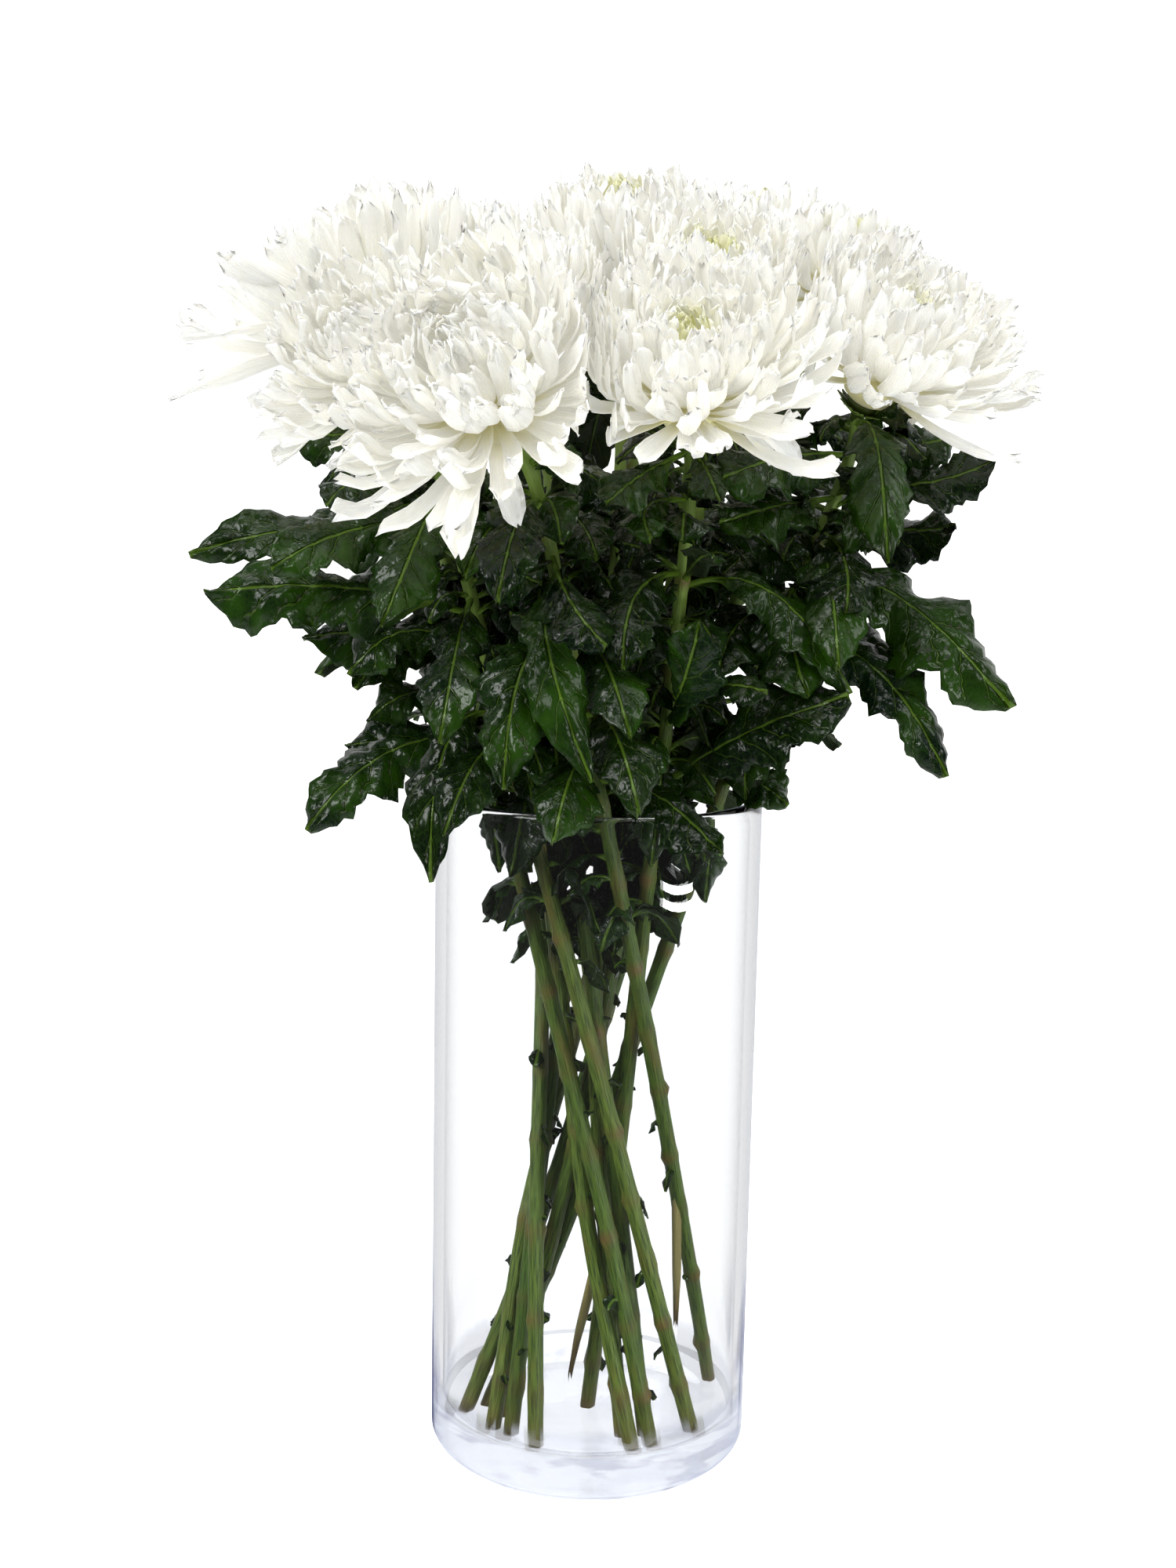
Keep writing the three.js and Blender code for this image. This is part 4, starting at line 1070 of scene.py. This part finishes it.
def leaves():
    """Dark glossy leaves with yellow-green veins, paler and duller beneath. Some whole leaves are darkened
    toward near black as painted shade, and broad paler yellow-green patches are painted light shining
    through the blade.
    """
    n = Nodes(bpy.data.materials.new("chrysanthemum_leaf"))
    uv, x, _ = n.map("flat")
    _, edge, rise = n.map("marks")
    chance, under, stalk, other = n.tone()
    millimetres = n.stretched(uv, FLAT_MM, FLAT_MM)
    blade = n.minus(1.0, stalk)
    from_midrib = n.times(n.math("ABSOLUTE", n.minus(x, 0.5)), FLAT_MM)
    midrib = n.span(from_midrib, 1.0, 0.35)
    wobble = n.times(n.minus(n.noise(millimetres, 0.12), 0.5), 0.5)
    from_side_vein = n.math("PINGPONG", n.plus(rise, wobble), 0.5)
    lateral = n.times(n.span(from_side_vein, 0.075, 0.02), n.span(edge, 0.95, 0.55))
    cells = {"Vector": millimetres, "Scale": 0.42}
    net = n.node("TexVoronoi", cells, feature="DISTANCE_TO_EDGE").outputs[0]
    small = n.span(net, 0.11, 0.02)

    deep = n.mix(chance, "leaf_blue", "leaf_green")
    # Broad paler yellow-green patches: painted light shining through the leaf.
    deep = n.mix(n.span(n.noise(millimetres, 0.06, 3.0), 0.40, 0.68), deep, "leaf_light")
    # Some whole leaves, picked at random, are darkened toward near black: painted shade.
    deep = n.mix(n.span(other, 0.55, 0.1, 0.0, 0.65), deep, "leaf_black")
    face = n.mix(n.times(small, 0.28), deep, "leaf_net")
    face = n.mix(n.times(lateral, 0.35), face, "leaf_vein")
    back = n.mix(n.times(small, 0.35), "back", "back_net")
    back = n.mix(lateral, back, "back_vein")
    colour = n.mix(under, face, back)
    colour = n.mix(n.larger(n.times(midrib, 0.6), stalk), colour, "leaf_midrib")
    spots = n.span(n.noise(millimetres, 0.5, 2.0), 0.72, 0.80)
    colour = n.mix(n.times(spots, n.times(blade, 0.35)), colour, "leaf_spot")

    cells = {"Vector": millimetres, "Scale": 0.125, "Smoothness": 0.7}
    puckers = n.node("TexVoronoi", cells, feature="SMOOTH_F1").outputs["Distance"]
    domes = n.minus(n.times(n.span(net, 0.0, 0.45), 0.04), n.times(puckers, 1.3))
    height = n.plus(domes, n.times(n.larger(lateral, midrib), -0.5))
    height = n.times(height, n.minus(1.0, n.times(under, 1.7)))
    return n.surface(n.plastic({
        "Base Color": colour, "Roughness": n.plus(0.24, n.times(under, 0.28)),
        "Specular IOR Level": 0.48, "Normal": n.bump(n.times(height, blade), 0.0028),
    }))


def stalks():
    """Ribbed green stems, browner at their joints and cut ends, and paler green toward the top: partly
    their own colour, partly painted light against the shade under the heads.
    """
    n = Nodes(bpy.data.materials.new("green_stem"))
    uv = n.map("flat")[0]
    chance, upper, scar, green = n.tone()
    streak = n.noise(n.stretched(uv, 120.0, 8.0), 1.0, 3.0)
    patch = n.noise(n.stretched(uv, 6.0, 3.2), 1.0, 3.0)
    colour = n.mix(chance, "stem_green", "stem_yellow")
    colour = n.mix(n.span(streak, 0.40, 0.66), colour, "stem_groove")
    colour = n.mix(n.times(n.span(patch, 0.48, 0.70), 0.6), colour, "stem_brown")
    # Paler green toward the top: partly the stalk's own colour, partly painted light against the shade
    # under the heads.
    colour = n.mix(n.times(upper, 0.85), colour, "stem_pale")
    colour = n.mix(green, "dry", colour)
    colour = n.mix(n.times(scar, 0.85), colour, "stem_scar")
    return n.surface(n.plastic({
        "Base Color": colour, "Roughness": 0.36, "Specular IOR Level": 0.6,
        "Normal": n.bump(streak, 0.0008, 0.7),
    }))


def floor():
    """A white table that glows a little, as a lit product table does."""
    points = [step(a, TABLE_RADIUS, TABLE_HEIGHT) for a in circle(TABLE_SIDES)]
    mesh = bpy.data.meshes.new("floor")
    mesh.from_pydata(points, [], [tuple(range(TABLE_SIDES))])
    n = Nodes(bpy.data.materials.new("white_table"))
    mesh.materials.append(n.surface(n.plastic({
        "Base Color": paint("table"), "Roughness": 0.9, "Specular IOR Level": 0.0,
        "Emission Color": WHITE, "Emission Strength": TABLE_GLOW,
    })))
    obj = bpy.data.objects.new("floor", mesh)
    obj.visible_glossy = False
    obj.visible_transmission = False
    return show(obj)


def lamp(name, place, target, size, power):
    data = bpy.data.lights.new(name, "AREA")
    data.shape = "RECTANGLE"
    data.size, data.size_y = size
    data.energy = power
    obj = bpy.data.objects.new(name, data)
    obj.location = place
    obj.rotation_mode = "QUATERNION"
    obj.rotation_quaternion = (Vector(target) - Vector(place)).to_track_quat("-Z", "Y")
    show(obj)


def bright_room():
    """White to the eye and through glass; as a light it is dimmer on the camera's side than behind."""
    n = Nodes(bpy.data.worlds.new("bright_room"))
    _, forward, up = n.split(n.node("TexCoord").outputs["Generated"])
    behind = n.span(forward, -0.1, 0.8, 0.05, 0.9)
    below = n.span(up, -0.45, -0.8, 0.0, 0.6)
    path = n.node("LightPath").outputs
    in_glass = n.math("GREATER_THAN", path["Transmission Depth"], 0.5)
    least = n.larger(n.times(path["Is Diffuse Ray"], ROOM_ON_SURFACES), n.times(in_glass, ROOM_IN_GLASS))
    soft = n.larger(n.larger(behind, below), least)
    straight = n.math("LESS_THAN", n.plus(path["Diffuse Depth"], path["Glossy Depth"]), 0.5)
    seen = n.larger(path["Is Camera Ray"], n.times(path["Is Transmission Ray"], straight))
    strength = n.plus(soft, n.times(seen, n.minus(ROOM_SEEN, soft)))
    light = n.node("Background", {"Color": WHITE, "Strength": strength})
    return n.surface(light.outputs[0], "OutputWorld")


def add_camera():
    data = bpy.data.cameras.new("camera")
    data.sensor_width = SENSOR_WIDTH
    data.lens = CAMERA_LENS
    data.clip_start = NEAREST
    data.clip_end = FARTHEST
    camera = bpy.data.objects.new("camera", data)
    camera.location = CAMERA_PLACE
    turn = Matrix.Rotation(CAMERA_TILT, 3, "X") @ Matrix.Rotation(CAMERA_ROLL, 3, "Z")
    camera.rotation_euler = turn.to_euler()
    bpy.context.scene.camera = show(camera)


vase = glass_cylinder().build("glass_cylinder", [clear_glass()])
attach(vase, "root")
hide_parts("vase")

petal_material, leaf_material, stem_material = petals(), leaves(), stalks()
for name in HEADS:
    bloom = flower(name).build("flower_" + name, [petal_material])
    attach(bloom, "root")
    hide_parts("bloom_" + name)
    stem = leafy_stem(name).build("leafy_stem_" + name, [leaf_material, stem_material])
    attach(stem, "root")
    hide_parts("stem_" + name)

floor()
for name, (place, target, size, power) in LAMPS.items():
    lamp(name, place, target, size, power)
bpy.context.scene.world = bright_room()
bpy.context.scene.view_settings.view_transform = "Standard"
bpy.context.scene.view_settings.gamma = GAMMA
add_camera()
